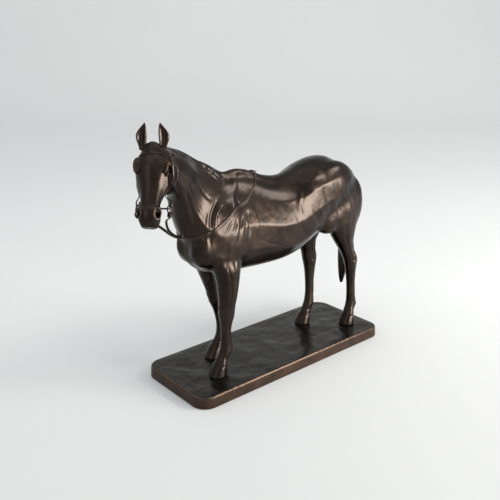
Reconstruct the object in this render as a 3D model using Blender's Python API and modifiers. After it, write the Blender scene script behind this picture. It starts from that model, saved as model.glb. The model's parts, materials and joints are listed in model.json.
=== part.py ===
"""A bronze horse on its cast plinth, as separate castings, joint pins, hoof fixings and bridle pieces.

Metres, +Z up. The horse faces -X and its near (left) side is towards -Y, with its head turned to that side.
Its shape is written in hundredths of its height at the withers, measured from the soles of the hooves.
"""

from math import cos, pi, radians, sin

import bmesh
import bpy
from mathutils import Matrix, Vector
from mathutils.bvhtree import BVHTree

# Overall sizes
WITHERS_HEIGHT = 0.236
PLINTH_HEIGHT = 0.0144
TOE_MARGIN = 0.0375
HEEL_MARGIN = 0.0200
NEAR_MARGIN = 0.0234
OFF_MARGIN = 0.0300

# Plinth
PLINTH_PLATE = 0.0050
PLINTH_SKIRT = 0.0045
PLINTH_LIP_RADIUS = 0.0022
FRONT_CORNER_RADIUS = 0.0180
REAR_NEAR_CORNER_RADIUS = 0.0140
REAR_OFF_CORNER_RADIUS = 0.0200

# Castings and their joints
CASTING_WALL = 0.0040
GAP = 0.0003
SOCKET_DEPTH = 0.0100
LEG_SPIGOT_RADIUS = 0.0042
NECK_SPIGOT_RADIUS = 0.0160
NECK_BORE_RADIUS = 0.0100
NECK_BORE_DEPTH = 0.0300
PIN_RADIUS = 0.0011
PIN_SINK = 0.0004
PIN_START = 0.0015

# Hoof fixings
STUD_RADIUS = 0.0015
STUD_IN_HOOF = 0.0080
WASHER_RADIUS = 0.0040
WASHER_THICKNESS = 0.0006
NUT_ACROSS_CORNERS = 0.0064
NUT_THICKNESS = 0.0026
STUD_PAST_NUT = 0.0008

# Bridle and reins
STRAP_THICKNESS = 0.0009
GROOVE_CLEARANCE = 0.0006
BRIDLE_STRAP_WIDTH = 0.0024
REIN_WIDTH = 0.0032
REIN_NARROW_WIDTH = 0.0018
BIT_RING_RADIUS = 0.0042
BIT_RING_WIRE = 0.0007
BIT_BAR_RADIUS = 0.0009
BIT_EYE_RADIUS = 0.0017
BIT_EYE_WIRE = 0.0006
BUCKLE_WIRE = 0.0005
BUCKLE_LENGTH = 0.0060

# Surface modelling
CLAY_GRAIN = 0.0016
HORSE_TRIANGLES = 6600

UNIT = WITHERS_HEIGHT / 100
SOLE_HEIGHT = PLINTH_HEIGHT + GAP
FRACTIONS = (0.0, 0.08, 0.25, 0.5, 0.75, 0.92, 1.0)
NEAR = -1
OFF = 1

# Trunk: station x, height of the back, height of the belly, half widths from top to bottom
TRUNK = (
    (-52, 78, 60, (3, 5.5, 6.5, 6, 3.5)),
    (-47, 86, 55, (3.5, 7.5, 10, 10, 6)),
    (-40, 92, 51.5, (3, 8, 12, 12.5, 8)),
    (-32, 97, 49.5, (2.6, 8, 12.6, 12.8, 8.5)),
    (-24, 100, 49, (2.4, 8, 12.5, 13, 8.5)),
    (-15, 98.5, 48.5, (2.8, 8.5, 13.2, 13.5, 8.5)),
    (-5, 94.5, 48.2, (4.5, 10.5, 14.5, 14.3, 9)),
    (5, 92.8, 48.3, (6, 12, 15.2, 14.8, 9)),
    (14, 94.2, 50, (7.6, 13.2, 15.2, 14.6, 8.8)),
    (21, 96.6, 52.5, (9.2, 14, 15.2, 13.8, 8)),
    (29, 98.6, 55.5, (9, 14, 15, 12.6, 7)),
    (37, 98.6, 59, (8.2, 13.4, 14.6, 12, 6.5)),
    (45, 95.4, 63, (6.8, 12, 13.8, 11.5, 6)),
    (53, 90.2, 67, (5, 10, 12.4, 11, 6.5)),
    (59.5, 86, 71, (3, 6.8, 9, 8.5, 5)),
)

# Neck: crest point, throat point, half widths from crest to throat
NECK = (
    ((-22, 0, 99), (-44, 0, 62), (2.2, 7, 11.5, 12, 9)),
    ((-30, 0, 99.5), (-52.5, 0, 70), (2, 6.5, 9.5, 11, 8)),
    ((-38, -0.6, 104), (-56.5, -0.8, 78), (1.8, 5.2, 7.6, 8.6, 6)),
    ((-47, -2.6, 108.2), (-59.5, -3.2, 86), (1.7, 4.6, 6.2, 6.8, 4.8)),
    ((-56, -5.8, 113), (-62.5, -7, 93.5), (1.7, 4.4, 5.4, 5.6, 4)),
    ((-64.5, -7.6, 116.4), (-66.5, -9, 98), (1.8, 4.4, 5.2, 5, 3.6)),
    ((-70, -9, 118), (-70, -12, 100.5), (2, 4.6, 5.2, 5, 3.5)),
)

# Head, in its own frame: way down the face from the poll, depth of the face, depth of the jaw, half widths
POLL = (-71.7, -6.2, 118.5)
HEAD_TURN = 45
FACE_SLOPE = 59.5
HEAD = (
    (0, 1.5, 13, (3, 4.6, 5.2, 4.5, 2.5)),
    (3.7, 0.2, 17.5, (4.2, 6.2, 6.6, 5.2, 3)),
    (8.4, -0.6, 18.8, (5.4, 7.6, 7.2, 6.2, 4)),
    (12.2, 0, 18.6, (5.4, 8.2, 7.4, 6.2, 4)),
    (17, 0.8, 16, (4.4, 6.6, 7, 5.4, 3.6)),
    (21.7, 1.2, 12.2, (3.6, 4.8, 5.2, 3.8, 2.6)),
    (25.3, 1.3, 10.2, (3.2, 4.4, 4.2, 3.2, 2.4)),
    (28.8, 1.2, 10, (3.4, 5, 4.8, 3.8, 2.8)),
    (32.2, 2.2, 10.2, (2.8, 4.6, 4.8, 4, 2.8)),
    (34.9, 4.2, 8.6, (1.6, 3, 3.4, 3, 1.8)),
)

# Legs of the near side: height, front x, back x, half width, sideways centre
FORELEG = (
    (0, -47, -37.4, 4.5, 10.0),
    (2.5, -45.8, -37.3, 4.2, 9.9),
    (5.3, -44.1, -37.2, 3.8, 9.8),
    (7.3, -42.6, -36.6, 3.0, 9.6),
    (9.5, -41, -34.6, 2.9, 9.4),
    (11.6, -39.8, -32.6, 3.1, 9.3),
    (14.3, -39.2, -32.7, 2.8, 9.3),
    (17, -39, -33.2, 2.5, 9.3),
    (22.6, -38.9, -33.4, 2.4, 9.3),
    (26, -39, -32.8, 2.8, 9.3),
    (30, -39.6, -31.6, 3.6, 9.3),
    (33, -39.9, -31.2, 3.7, 9.3),
    (36, -39.6, -30.8, 3.8, 9.3),
    (38.5, -39.7, -30, 4.1, 9.3),
    (43.5, -40.1, -29.2, 4.7, 9.3),
    (48.5, -40.7, -28.3, 5.2, 9.2),
    (54, -42, -27.3, 5.7, 8.8),
    (60, -44.5, -26.5, 5.5, 7.6),
    (67, -46, -27, 4.8, 6.4),
)
HINDLEG = (
    (0, 47.2, 56.2, 4.4, 10.6),
    (2.5, 48.1, 56.2, 4.2, 10.5),
    (5.2, 49.4, 56.2, 3.8, 10.3),
    (7, 50.6, 56.6, 3.0, 10.1),
    (9, 51.6, 57.8, 2.8, 9.9),
    (11, 52.3, 59.2, 2.85, 9.7),
    (13, 52.7, 58.9, 2.6, 9.6),
    (16, 52.7, 58.2, 2.4, 9.6),
    (19.5, 52.5, 58, 2.3, 9.6),
    (25.5, 52, 57.6, 2.3, 9.5),
    (32, 51.2, 57.8, 2.8, 9.4),
    (36.5, 50.2, 58.4, 3.4, 9.3),
    (39, 49.4, 58.6, 3.6, 9.2),
    (41.5, 48.1, 57.6, 3.7, 9.1),
    (44.5, 46.4, 55.6, 3.8, 9.0),
    (51, 41.9, 54.2, 4.9, 8.8),
    (56, 38.5, 55.4, 5.6, 8.6),
    (62, 35, 57, 6.2, 8.4),
    (68, 33.5, 58.4, 6.4, 8.0),
    (75, 34, 59, 6.2, 7.4),
    (82, 36, 58, 5.6, 6.8),
    (90, 38, 54, 4.0, 5.6),
)

# How far the off legs stand behind (+) or in front (-) of the near ones, by height
OFF_FORE_SHIFT = (
    (0, 10.2),
    (8, 10.6),
    (19, 10),
    (25, 8.7),
    (31, 7),
    (37, 5.3),
    (43, 3.6),
    (52, 1),
    (60, 0),
    (67, 0),
)
OFF_HIND_SHIFT = (
    (0, -19.2),
    (11, -19),
    (19, -17.5),
    (31, -16.8),
    (39, -16.6),
    (44, -15),
    (50, -13.6),
    (60, -8),
    (75, -3),
    (90, 0),
)
OFF_FORE_INSET = 2.8
OFF_HIND_INSET = 4.2

# Each leg: its table, side, stance shift and inset, and the height of its joint
LEGS = {
    "foreleg_near": (FORELEG, NEAR, OFF_FORE_SHIFT, OFF_FORE_INSET, 46),
    "foreleg_off": (FORELEG, OFF, OFF_FORE_SHIFT, OFF_FORE_INSET, 46),
    "hindleg_near": (HINDLEG, NEAR, OFF_HIND_SHIFT, OFF_HIND_INSET, 50),
    "hindleg_off": (HINDLEG, OFF, OFF_HIND_SHIFT, OFF_HIND_INSET, 50),
}

# Tail: point on its front, point on its back, half widths
TAIL = (
    ((53.5, 0, 84), (56.5, 0, 88), (1.5, 2.2, 2.4, 2, 1.2)),
    ((57.5, 0, 80.5), (60.3, 0, 83), (1.5, 2.4, 2.6, 2.2, 1.2)),
    ((59.3, 0, 74), (62.6, 0, 75.5), (1.6, 2.8, 3, 2.5, 1.4)),
    ((59.2, 0, 64), (63.4, 0, 64), (1.8, 3.2, 3.5, 2.8, 1.6)),
    ((57.2, 0, 54), (63, 0, 53), (1.8, 3.4, 3.8, 3, 1.6)),
    ((56, 0, 44), (62, 0, 43), (1.7, 3.2, 3.6, 2.8, 1.4)),
    ((55.6, 0, 33), (60.6, 0, 32), (1.4, 2.6, 3, 2.4, 1.2)),
    ((56, 0, 25), (59.4, 0, 24.4), (0.9, 1.7, 1.9, 1.6, 0.8)),
    ((56.8, 0, 20.8), (58.4, 0, 20.6), (0.4, 0.7, 0.8, 0.7, 0.4)),
)

# Muscle masses of one side: centre, radii, lean about Y in degrees
MUSCLES = (
    ((-34.5, 7.4, 73), (8.4, 5.1, 14), 24),
    ((-31, 9, 66.5), (9, 4.4, 10), 20),
    ((-45.5, 6, 66), (6.5, 5, 9), 10),
    ((38, 7.6, 84), (15, 7, 12.5), 0),
    ((46, 8.8, 69), (10.5, 5.4, 15), 8),
    ((35, 8.4, 65.5), (8.5, 5.4, 8), 0),
    ((22, 9.2, 88.5), (7, 4.2, 5.6), 0),
    ((54.6, 8.4, 71.5), (5.4, 5, 13), 0),
)

# Masses of one side of the head: centre (down the face, to the side, depth) and radii in the same order
HEAD_MASSES = (
    ((12.7, 5.6, 11.5), (6.2, 2.2, 6.4)),
    ((9.8, 7.0, 3.2), (2.6, 1.5, 2.1)),
    ((28.2, 3.9, 3.8), (2.8, 1.8, 2.3)),
)

# Ear: way along it, half width, half thickness
EAR_LENGTH = 10.8
EAR = ((0, 1.7, 1.6), (0.25, 2.3, 1.4), (0.45, 2.4, 1.2), (0.7, 1.8, 1), (0.9, 0.9, 0.7), (1, 0.3, 0.3))

# Where the castings part: how far each leg's region reaches to front and back of its joint, two points of
# the neck's plane, and the tail's pin
LEG_SPAN = 16
NECK_JOINT_CREST = (-29.5, 0, 99)
NECK_JOINT_BREAST = (-50.5, 0, 66)
TAIL_PIN = (55.4, 0, 85.4)

# Stations of the hollow inside the torso, and how far the neck's socket opens into it
CORE_STATIONS = (-34, -24, -15, -5, 5, 14, 21, 29, 37, 43)
CORE_PASSAGE = 0.0300

# The bit: way down the face and depth of its bar, how far out each ring hangs, and how far it swings
# forward, in degrees
BIT_DOWN = 26.2
BIT_DEPTH = 6.4
BIT_REACH = {NEAR: 7.0, OFF: 5.0}
RING_SWING = 35

# Straps that follow the head: places in the head's frame, near side out
CROWN_PATH = ((5, 7.4, 6.6), (3, 6.8, 7.2), (0.6, 5.2, 6.2), (-1.2, 2.6, 5.4), (-1.6, 0, 5.2))
BROW_PATH = ((4.8, 7, 4.4), (4.2, 5.4, 1.4), (3.9, 3, 0), (3.8, 0, -0.4))
CHEEK_PATH = ((7.5, 7.6, 7.2), (12, 7.4, 7.6), (16.5, 6.8, 7.4), (20.4, 6, 7.4))

# Reins: hanging part of each, then the part that lies on one side of the horse, up to the withers
NEAR_REIN_HANG = ((-71.1, -14, 87), (-70, -12.3, 83.8), (-67, -9.4, 80), (-62.2, -5.6, 76.2), (-57.4, -2.6, 73.4))
OFF_REIN_HANG = ((-77.8, -5.8, 87.2), (-73.4, -5.2, 84.4), (-68.1, -4, 80.8), (-61.4, -1.2, 75.5), (-56.6, 1, 72.4))
NEAR_REIN_CHEST = ((-53.8, -3, 72.3), (-51.2, -7.2, 73.2), (-47.8, -9.9, 74.2))
OFF_REIN_CHEST = ((-53.4, 3.6, 70.8), (-51, 7.2, 72.4), (-47.8, 9.9, 74.2))
REIN_SHOULDER = ((-43.5, 11, 75.8), (-37, 11.8, 79.4), (-29, 12, 84.6), (-22.3, 9.4, 86))
REIN_WITHERS = ((-17.4, 7, 89.6), (-13.6, 5, 92), (-11.4, 3, 94.8))
REIN_TOP = (-10.8, 0, 96.6)
REIN_END = 1.7


def clear_scene():
    for item in list(bpy.data.objects):
        bpy.data.objects.remove(item, do_unlink=True)


def new_collection(name):
    collection = bpy.data.collections.new(name)
    bpy.context.scene.collection.children.link(collection)
    return collection


clear_scene()
STATUE = new_collection("bronze_horse_statue")
CUTTERS = new_collection("cutters")
CUTTERS.hide_render = True


def metal(name, colour, roughness):
    found = bpy.data.materials.get(name) or bpy.data.materials.new(name)
    found.use_nodes = True
    shader = found.node_tree.nodes["Principled BSDF"]
    shader.inputs["Base Color"].default_value = (*colour, 1)
    shader.inputs["Roughness"].default_value = roughness
    shader.inputs["Metallic"].default_value = 1.0
    return found


PATINA = ("brown_patina", (0.085, 0.058, 0.042), 0.38)
PLINTH_PATINA = ("plinth_patina", (0.11, 0.062, 0.04), 0.45)
STRAP_PATINA = ("strap_patina", (0.075, 0.052, 0.04), 0.42)
FIXING_BRASS = ("fixing_brass", (0.45, 0.30, 0.12), 0.5)


def add_object(name, mesh, finish=None):
    """A named sub-part when it has a finish, and a cutter when it has none."""
    item = bpy.data.objects.new(name, mesh)
    if finish is None:
        CUTTERS.objects.link(item)
        item.display_type = "WIRE"
        item.hide_render = True
    else:
        STATUE.objects.link(item)
        item.data.materials.clear()
        item.data.materials.append(metal(*finish))
    return item


def mesh_from(name, bm):
    bmesh.ops.recalc_face_normals(bm, faces=bm.faces)
    mesh = bpy.data.meshes.new(name)
    bm.to_mesh(mesh)
    bm.free()
    return mesh


def bake(item):
    """Turn an object and its modifiers into a plain mesh."""
    bpy.context.view_layer.update()
    graph = bpy.context.evaluated_depsgraph_get()
    mesh = bpy.data.meshes.new_from_object(item.evaluated_get(graph))
    item.modifiers.clear()
    item.data = mesh
    return item


def boolean(item, cutter, operation="DIFFERENCE"):
    modifier = item.modifiers.new(cutter.name, "BOOLEAN")
    modifier.operation = operation
    modifier.solver = "EXACT"
    modifier.object = cutter


def keep_largest_shell(item):
    """Drop the crumbs that a cut through a thin edge can leave."""
    bm = bmesh.new()
    bm.from_mesh(item.data)
    bm.verts.ensure_lookup_table()
    left = set(bm.verts)
    shells = []
    while left:
        shell = {left.pop()}
        front = list(shell)
        while front:
            vert = front.pop()
            for edge in vert.link_edges:
                other = edge.other_vert(vert)
                if other in left:
                    left.remove(other)
                    shell.add(other)
                    front.append(other)
        shells.append(shell)
    largest = max(shells, key=len)
    crumbs = [vert for vert in bm.verts if vert not in largest]
    bmesh.ops.delete(bm, geom=crumbs, context="VERTS")
    bm.to_mesh(item.data)
    bm.free()


def at(x, y, z):
    """A place on the horse, from hundredths of its height to metres."""
    return Vector((x, y, z)) * UNIT + Vector((0, 0, SOLE_HEIGHT))


def mix(low, high, share):
    return low + (high - low) * share


def table_value(table, key):
    for (low_key, low), (high_key, high) in zip(table, table[1:]):
        if key <= high_key:
            return mix(low, high, (key - low_key) / (high_key - low_key))
    return table[-1][1]


def half_width(widths, fraction):
    """Half width at a fraction of the section's depth, with rounded ends."""
    squares = [0.0, *(width * width for width in widths), 0.0]
    return table_value(tuple(zip(FRACTIONS, squares)), fraction) ** 0.5


def section_ring(top, bottom, widths, side, sides=20):
    """Points round one section, from its top down one side and up the other."""
    points = []
    for step in range(sides):
        angle = 2 * pi * step / sides
        fraction = (1 - cos(angle)) / 2
        reach = half_width(widths, min(fraction, 1.0)) * (1 if angle < pi else -1)
        points.append(top.lerp(bottom, fraction) + side * reach * UNIT)
    return points


def loft(bm, rings):
    """Skin a row of rings with quads and close both ends."""
    rows = [[bm.verts.new(point) for point in ring] for ring in rings]
    count = len(rows[0])
    for low, high in zip(rows, rows[1:]):
        for index in range(count):
            following = (index + 1) % count
            bm.faces.new((low[index], low[following], high[following], high[index]))
    bm.faces.new(list(reversed(rows[0])))
    bm.faces.new(rows[-1])


def ellipsoid(bm, matrix):
    bmesh.ops.create_uvsphere(bm, u_segments=20, v_segments=12, radius=1, matrix=matrix)


def trunk(bm):
    rings = []
    for x, top, bottom, widths in TRUNK:
        rings.append(section_ring(at(x, 0, top), at(x, 0, bottom), widths, Vector((0, 1, 0))))
    loft(bm, rings)


def neck(bm):
    centres = [(at(*crest) + at(*throat)) / 2 for crest, throat, widths in NECK]
    rings = []
    for index, (crest, throat, widths) in enumerate(NECK):
        along = centres[min(index + 1, len(NECK) - 1)] - centres[max(index - 1, 0)]
        side = along.cross(at(*throat) - at(*crest)).normalized()
        rings.append(section_ring(at(*crest), at(*throat), widths, side))
    loft(bm, rings)


def head_axes():
    """Directions down the face, towards the horse's near side, and into the head from the face."""
    turn = radians(HEAD_TURN)
    slope = radians(FACE_SLOPE)
    ahead = Vector((-cos(turn), -sin(turn), 0))
    down = ahead * cos(slope) - Vector((0, 0, sin(slope)))
    near = Vector((sin(turn), -cos(turn), 0))
    deep = -ahead * sin(slope) - Vector((0, 0, cos(slope)))
    return down, near, deep


def on_head(down, near, deep):
    """A place on the head, from its own frame."""
    axes = head_axes()
    return at(*POLL) + (axes[0] * down + axes[1] * near + axes[2] * deep) * UNIT


def head(bm):
    near = head_axes()[1]
    rings = []
    for down, face, jaw, widths in HEAD:
        rings.append(section_ring(on_head(down, 0, face), on_head(down, 0, jaw), widths, near))
    loft(bm, rings)
    for centre, radii in HEAD_MASSES:
        for side in (NEAR, OFF):
            place = on_head(centre[0], -side * centre[1], centre[2])
            down, sideways, deep = head_axes()
            turn = Matrix((down, sideways, deep)).transposed().to_4x4()
            size = Matrix.Diagonal((*(radius * UNIT for radius in radii), 1))
            ellipsoid(bm, Matrix.Translation(place) @ turn @ size)


def ear(bm, side):
    root = on_head(0.4, -side * 4.3, 2.2)
    tip = root + Vector((0.02, -side * 0.02, 1)).normalized() * EAR_LENGTH * UNIT
    across = head_axes()[1]
    through = across.cross(Vector((0, 0, 1)))
    rings = []
    for way, width, thickness in EAR:
        centre = root.lerp(tip, way)
        ring = []
        for step in range(12):
            angle = 2 * pi * step / 12
            ring.append(centre + (across * cos(angle) * width + through * sin(angle) * thickness) * UNIT)
        rings.append(ring)
    loft(bm, rings)


def leg_section(shape, z):
    """Front and back points and half width of a leg at a height."""
    table, side, shifts, inset, _ = shape
    columns = [[(row[0], row[item]) for row in table] for item in (1, 2, 3, 4)]
    front, back, width, sideways = (table_value(column, z) for column in columns)
    shift = table_value(shifts, z) if side == OFF else 0
    inward = inset * (1 - z / table[-1][0]) if side == OFF else 0
    y = side * (sideways - inward)
    return at(front + shift, y, z), at(back + shift, y, z), width


def leg(bm, shape):
    rings = []
    for row in shape[0]:
        front, back, width = leg_section(shape, row[0])
        widths = (width * 0.56, width * 0.88, width, width * 0.88, width * 0.56)
        rings.append(section_ring(front, back, widths, Vector((0, 1, 0)), 16))
    loft(bm, rings)


def muscles(bm):
    for centre, radii, lean in MUSCLES:
        for side in (NEAR, OFF):
            place = at(centre[0], side * centre[1], centre[2])
            turn = Matrix.Rotation(radians(lean), 4, "Y")
            size = Matrix.Diagonal((*(radius * UNIT for radius in radii), 1))
            ellipsoid(bm, Matrix.Translation(place) @ turn @ size)


def horse_clay():
    """The whole horse as one skin, before it is divided into castings."""
    bm = bmesh.new()
    trunk(bm)
    neck(bm)
    head(bm)
    muscles(bm)
    for side in (NEAR, OFF):
        ear(bm, side)
    for shape in LEGS.values():
        leg(bm, shape)
    clay = add_object("horse_clay", mesh_from("horse_clay", bm))
    grain = clay.modifiers.new("grain", "REMESH")
    grain.mode = "VOXEL"
    grain.voxel_size = CLAY_GRAIN
    smooth = clay.modifiers.new("smooth", "SMOOTH")
    smooth.factor = 0.5
    smooth.iterations = 6
    bake(clay)
    thin = clay.modifiers.new("thin", "DECIMATE")
    thin.ratio = HORSE_TRIANGLES / (2 * len(clay.data.polygons))
    return bake(clay)


CLAY = horse_clay()
bpy.context.view_layer.update()
SKIN = BVHTree.FromObject(CLAY, bpy.context.evaluated_depsgraph_get())
grooves = []


def place_along(name, origin, axis, mesh):
    """Put a mesh made along Z at a place, turned so that its Z follows an axis."""
    turn = axis.to_track_quat("Z", "Y").to_matrix().to_4x4()
    mesh.transform(Matrix.Translation(origin) @ turn)
    mesh.name = name
    return mesh


def cylinder(name, start, end, radius, finish=None, sides=24):
    bm = bmesh.new()
    length = (end - start).length
    bmesh.ops.create_cone(bm, cap_ends=True, segments=sides, radius1=radius, radius2=radius, depth=length)
    mesh = place_along(name, (start + end) / 2, end - start, mesh_from(name, bm))
    return add_object(name, mesh, finish)


def cuboid(name, low, high):
    bm = bmesh.new()
    size = Matrix.Diagonal((*(high - low), 1))
    bmesh.ops.create_cube(bm, size=1, matrix=Matrix.Translation((low + high) / 2) @ size)
    return add_object(name, mesh_from(name, bm))


def torus(name, centre, axis, ring_radius, wire_radius, finish=None, steps=24, sides=8):
    """A closed ring of round wire."""
    bm = bmesh.new()
    profile = []
    for step in range(sides):
        angle = 2 * pi * step / sides
        profile.append(Vector((ring_radius + wire_radius * cos(angle), 0, wire_radius * sin(angle))))
    rows = []
    for step in range(steps):
        turn = Matrix.Rotation(2 * pi * step / steps, 3, "Z")
        rows.append([bm.verts.new(turn @ point) for point in profile])
    for index, row in enumerate(rows):
        following = rows[(index + 1) % steps]
        for side in range(sides):
            after = (side + 1) % sides
            bm.faces.new((row[side], row[after], following[after], following[side]))
    return add_object(name, place_along(name, centre, axis, mesh_from(name, bm)), finish)


# Straps


def smooth_value(before, start, end, after, share):
    """A point on the smooth curve through four stops, between the middle two."""
    square = share * share
    cube = square * share
    return (
        start * 2
        + (end - before) * share
        + (before * 2 - start * 5 + end * 4 - after) * square
        + (start * 3 - before - end * 3 + after) * cube
    ) / 2


def smooth_row(stops, steps=4):
    """Stops joined by a smooth curve; each stop is a tuple of numbers and vectors."""
    row = []
    for index in range(len(stops) - 1):
        four = [stops[max(0, min(len(stops) - 1, index + offset))] for offset in (-1, 0, 1, 2)]
        for step in range(steps):
            row.append(tuple(smooth_value(*values, step / steps) for values in zip(*four)))
    row.append(stops[-1])
    return row


def strap_path(stops):
    """Centres, outward directions and widths of a strap, laid on the skin where it clings."""
    path = []
    for place, outward, width, cling in smooth_row(stops):
        cling = max(0.0, min(1.0, cling))
        skin, normal, _, _ = SKIN.find_nearest(place)
        lift = normal * (STRAP_THICKNESS / 2 - GAP)
        path.append([place.lerp(skin + lift, cling), outward.lerp(normal, cling), width])
    for _ in range(2):
        smoothed = [list(stop) for stop in path]
        for index in range(1, len(path) - 1):
            for item in (0, 1):
                around = path[index - 1][item] + path[index + 1][item]
                smoothed[index][item] = (around + path[index][item] * 2) / 4
        path = smoothed
    return path


def strap_mesh(name, path, spread):
    """A flat strip along a path, or with a spread, the room that the strip needs."""
    bm = bmesh.new()
    rings = []
    last = len(path) - 1
    for index, (centre, outward, width) in enumerate(path):
        along = (path[min(index + 1, last)][0] - path[max(index - 1, 0)][0]).normalized()
        across = along.cross(outward).normalized() * (width / 2 + spread)
        raised = across.cross(along).normalized() * (STRAP_THICKNESS / 2 + spread)
        if index in (0, last):
            centre = centre + along * (spread if index else -spread)
        corners = ((across, raised), (-across, raised), (-across, -raised), (across, -raised))
        rings.append([centre + sideways + upward for sideways, upward in corners])
    loft(bm, rings)
    return mesh_from(name, bm)


def strap(name, stops):
    """A strap and the groove that it lies in."""
    path = strap_path(stops)
    grooves.append(add_object(name + "_groove", strap_mesh(name + "_groove", path, GROOVE_CLEARANCE)))
    return add_object(name, strap_mesh(name, path, 0), STRAP_PATINA)


def stops_on_head(places, side, width):
    near = head_axes()[1]
    return [(on_head(place[0], -side * place[1], place[2]), near * -side, width, 1.0) for place in places]


def stops_on_body(places, side, width, cling):
    stops = []
    for x, y, z in places:
        stops.append((at(x, y if side is None else side * y, z), Vector((0, side or NEAR, 0)), width, cling))
    return stops


def bit_place(side):
    return on_head(BIT_DOWN, -side * BIT_REACH[side], BIT_DEPTH)


def ring_axes(side):
    """Directions out of a bit ring's face and across it, away from the bar."""
    _, near, deep = head_axes()
    swing = radians(RING_SWING)
    outward = near * -side
    return outward * cos(swing) - deep * sin(swing), deep * cos(swing) + outward * sin(swing)


def ring_centre(side):
    return bit_place(side) + ring_axes(side)[1] * BIT_RING_RADIUS


def fold_over_ring(side, direction, width):
    """Stops of a strap end folded through a bit ring: from inside the ring, round its wire, to outside."""
    wire = ring_centre(side) + direction * BIT_RING_RADIUS
    outward = ring_axes(side)[0]
    reach = BIT_RING_WIRE + GAP * 1.5 + STRAP_THICKNESS / 2
    stops = [(wire + direction * reach * 2.2 - outward * reach, -outward, width, 0.0)]
    for degrees in (-90, -45, 0, 45, 90):
        angle = radians(degrees)
        away = outward * sin(angle) - direction * cos(angle)
        stops.append((wire + away * reach, away, width, 0.0))
    stops.append((wire + direction * reach * 2.2 + outward * reach, outward, width, 0.0))
    return stops


def bridle():
    down, near, deep = head_axes()
    crown = stops_on_head(CROWN_PATH, NEAR, BRIDLE_STRAP_WIDTH)
    crown += stops_on_head(CROWN_PATH[-2::-1], OFF, BRIDLE_STRAP_WIDTH)
    strap("bridle_crownpiece", crown)
    brow = stops_on_head(BROW_PATH, NEAR, BRIDLE_STRAP_WIDTH)
    brow += stops_on_head(BROW_PATH[-2::-1], OFF, BRIDLE_STRAP_WIDTH)
    strap("bridle_browband", brow)
    for side, word in ((NEAR, "near"), (OFF, "off")):
        cheek = stops_on_head(CHEEK_PATH, side, BRIDLE_STRAP_WIDTH)
        fold = fold_over_ring(side, -down, BRIDLE_STRAP_WIDTH)
        strap("bridle_cheekpiece_" + word, cheek + fold[::-1])
        place, facing = ring_centre(side), ring_axes(side)[0]
        torus("bit_ring_" + word, place, facing, BIT_RING_RADIUS, BIT_RING_WIRE, STRAP_PATINA)
        room = BIT_RING_WIRE + GROOVE_CLEARANCE
        grooves.append(torus("bit_ring_room_" + word, place, facing, BIT_RING_RADIUS, room))
    ends = [bit_place(side) + near * side * BIT_EYE_RADIUS for side in (NEAR, OFF)]
    bar = cylinder("bit_mouthpiece", *ends, BIT_BAR_RADIUS, STRAP_PATINA, 14)
    for side in (NEAR, OFF):
        eye = torus(f"bit_eye_{side}", bit_place(side), down, BIT_EYE_RADIUS, BIT_EYE_WIRE, None, 20, 8)
        boolean(bar, eye, "UNION")
    bake(bar)
    eye_room = near * (BIT_EYE_RADIUS + BIT_EYE_WIRE + GROOVE_CLEARANCE)
    for side in (NEAR, OFF):
        place = bit_place(side)
        grooves.append(cylinder(f"bit_eye_room_{side}", place - eye_room, place + eye_room, eye_room.length))
    grooves.append(cylinder("bit_bore", *ends, BIT_BAR_RADIUS + GAP, None, 14))


def reins():
    down = head_axes()[0]
    for side, word in ((NEAR, "near"), (OFF, "off")):
        hang, chest = (NEAR_REIN_HANG, NEAR_REIN_CHEST) if side == NEAR else (OFF_REIN_HANG, OFF_REIN_CHEST)
        stops = fold_over_ring(side, down, REIN_WIDTH)
        stops += stops_on_body(hang, None, REIN_NARROW_WIDTH, 0.0)
        stops += stops_on_body(chest, None, REIN_WIDTH, 1.0)
        stops += stops_on_body(REIN_SHOULDER, side, REIN_WIDTH, 1.0)
        stops += stops_on_body(REIN_WITHERS, side, REIN_NARROW_WIDTH, 1.0)
        top = Vector(REIN_TOP) + Vector((0, side * REIN_END, 0))
        stops += stops_on_body([top], None, REIN_NARROW_WIDTH, 1.0)
        strap("rein_" + word, stops)


def wire_frame(wire, long_half, wide_half):
    """An oblong frame of round wire, lying flat."""
    curve = bpy.data.curves.new("wire_frame", "CURVE")
    curve.dimensions = "3D"
    curve.bevel_depth = wire
    curve.bevel_resolution = 2
    spline = curve.splines.new("POLY")
    corners = ((-1, -1), (1, -1), (1, 1), (-1, 1))
    spline.points.add(len(corners) - 1)
    for point, (ahead, across) in zip(spline.points, corners):
        point.co = (ahead * long_half, across * wide_half, 0, 1)
    spline.use_cyclic_u = True
    item = bpy.data.objects.new("wire_frame", curve)
    CUTTERS.objects.link(item)
    bpy.context.view_layer.update()
    mesh = bpy.data.meshes.new_from_object(item.evaluated_get(bpy.context.evaluated_depsgraph_get()))
    bpy.data.objects.remove(item, do_unlink=True)
    return mesh


def buckle():
    """The small frame that joins the reins over the withers, and the groove that it lies in."""
    skin, normal, _, _ = SKIN.find_nearest(at(*REIN_TOP))
    middle = skin + normal * (BUCKLE_WIRE + GAP)
    wide_half = REIN_END * UNIT - BUCKLE_WIRE - GAP * 2
    tilt = Vector((1, 0, 0)).cross(normal).normalized()
    turn = Matrix((tilt.cross(normal), tilt, normal)).transposed().to_4x4()
    for name, wire, finish in (
        ("rein_buckle", BUCKLE_WIRE, STRAP_PATINA),
        ("rein_buckle_groove", BUCKLE_WIRE + GROOVE_CLEARANCE, None),
    ):
        mesh = wire_frame(wire, BUCKLE_LENGTH / 2, wide_half)
        mesh.transform(Matrix.Translation(middle) @ turn)
        mesh.name = name
        item = add_object(name, mesh, finish)
    grooves.append(item)


# Castings


def joint_axis():
    """Middle of the neck joint and the direction in which the neck leaves it."""
    crest, breast = at(*NECK_JOINT_CREST), at(*NECK_JOINT_BREAST)
    return (crest + breast) / 2, Vector((0, 1, 0)).cross(breast - crest).normalized()


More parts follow.
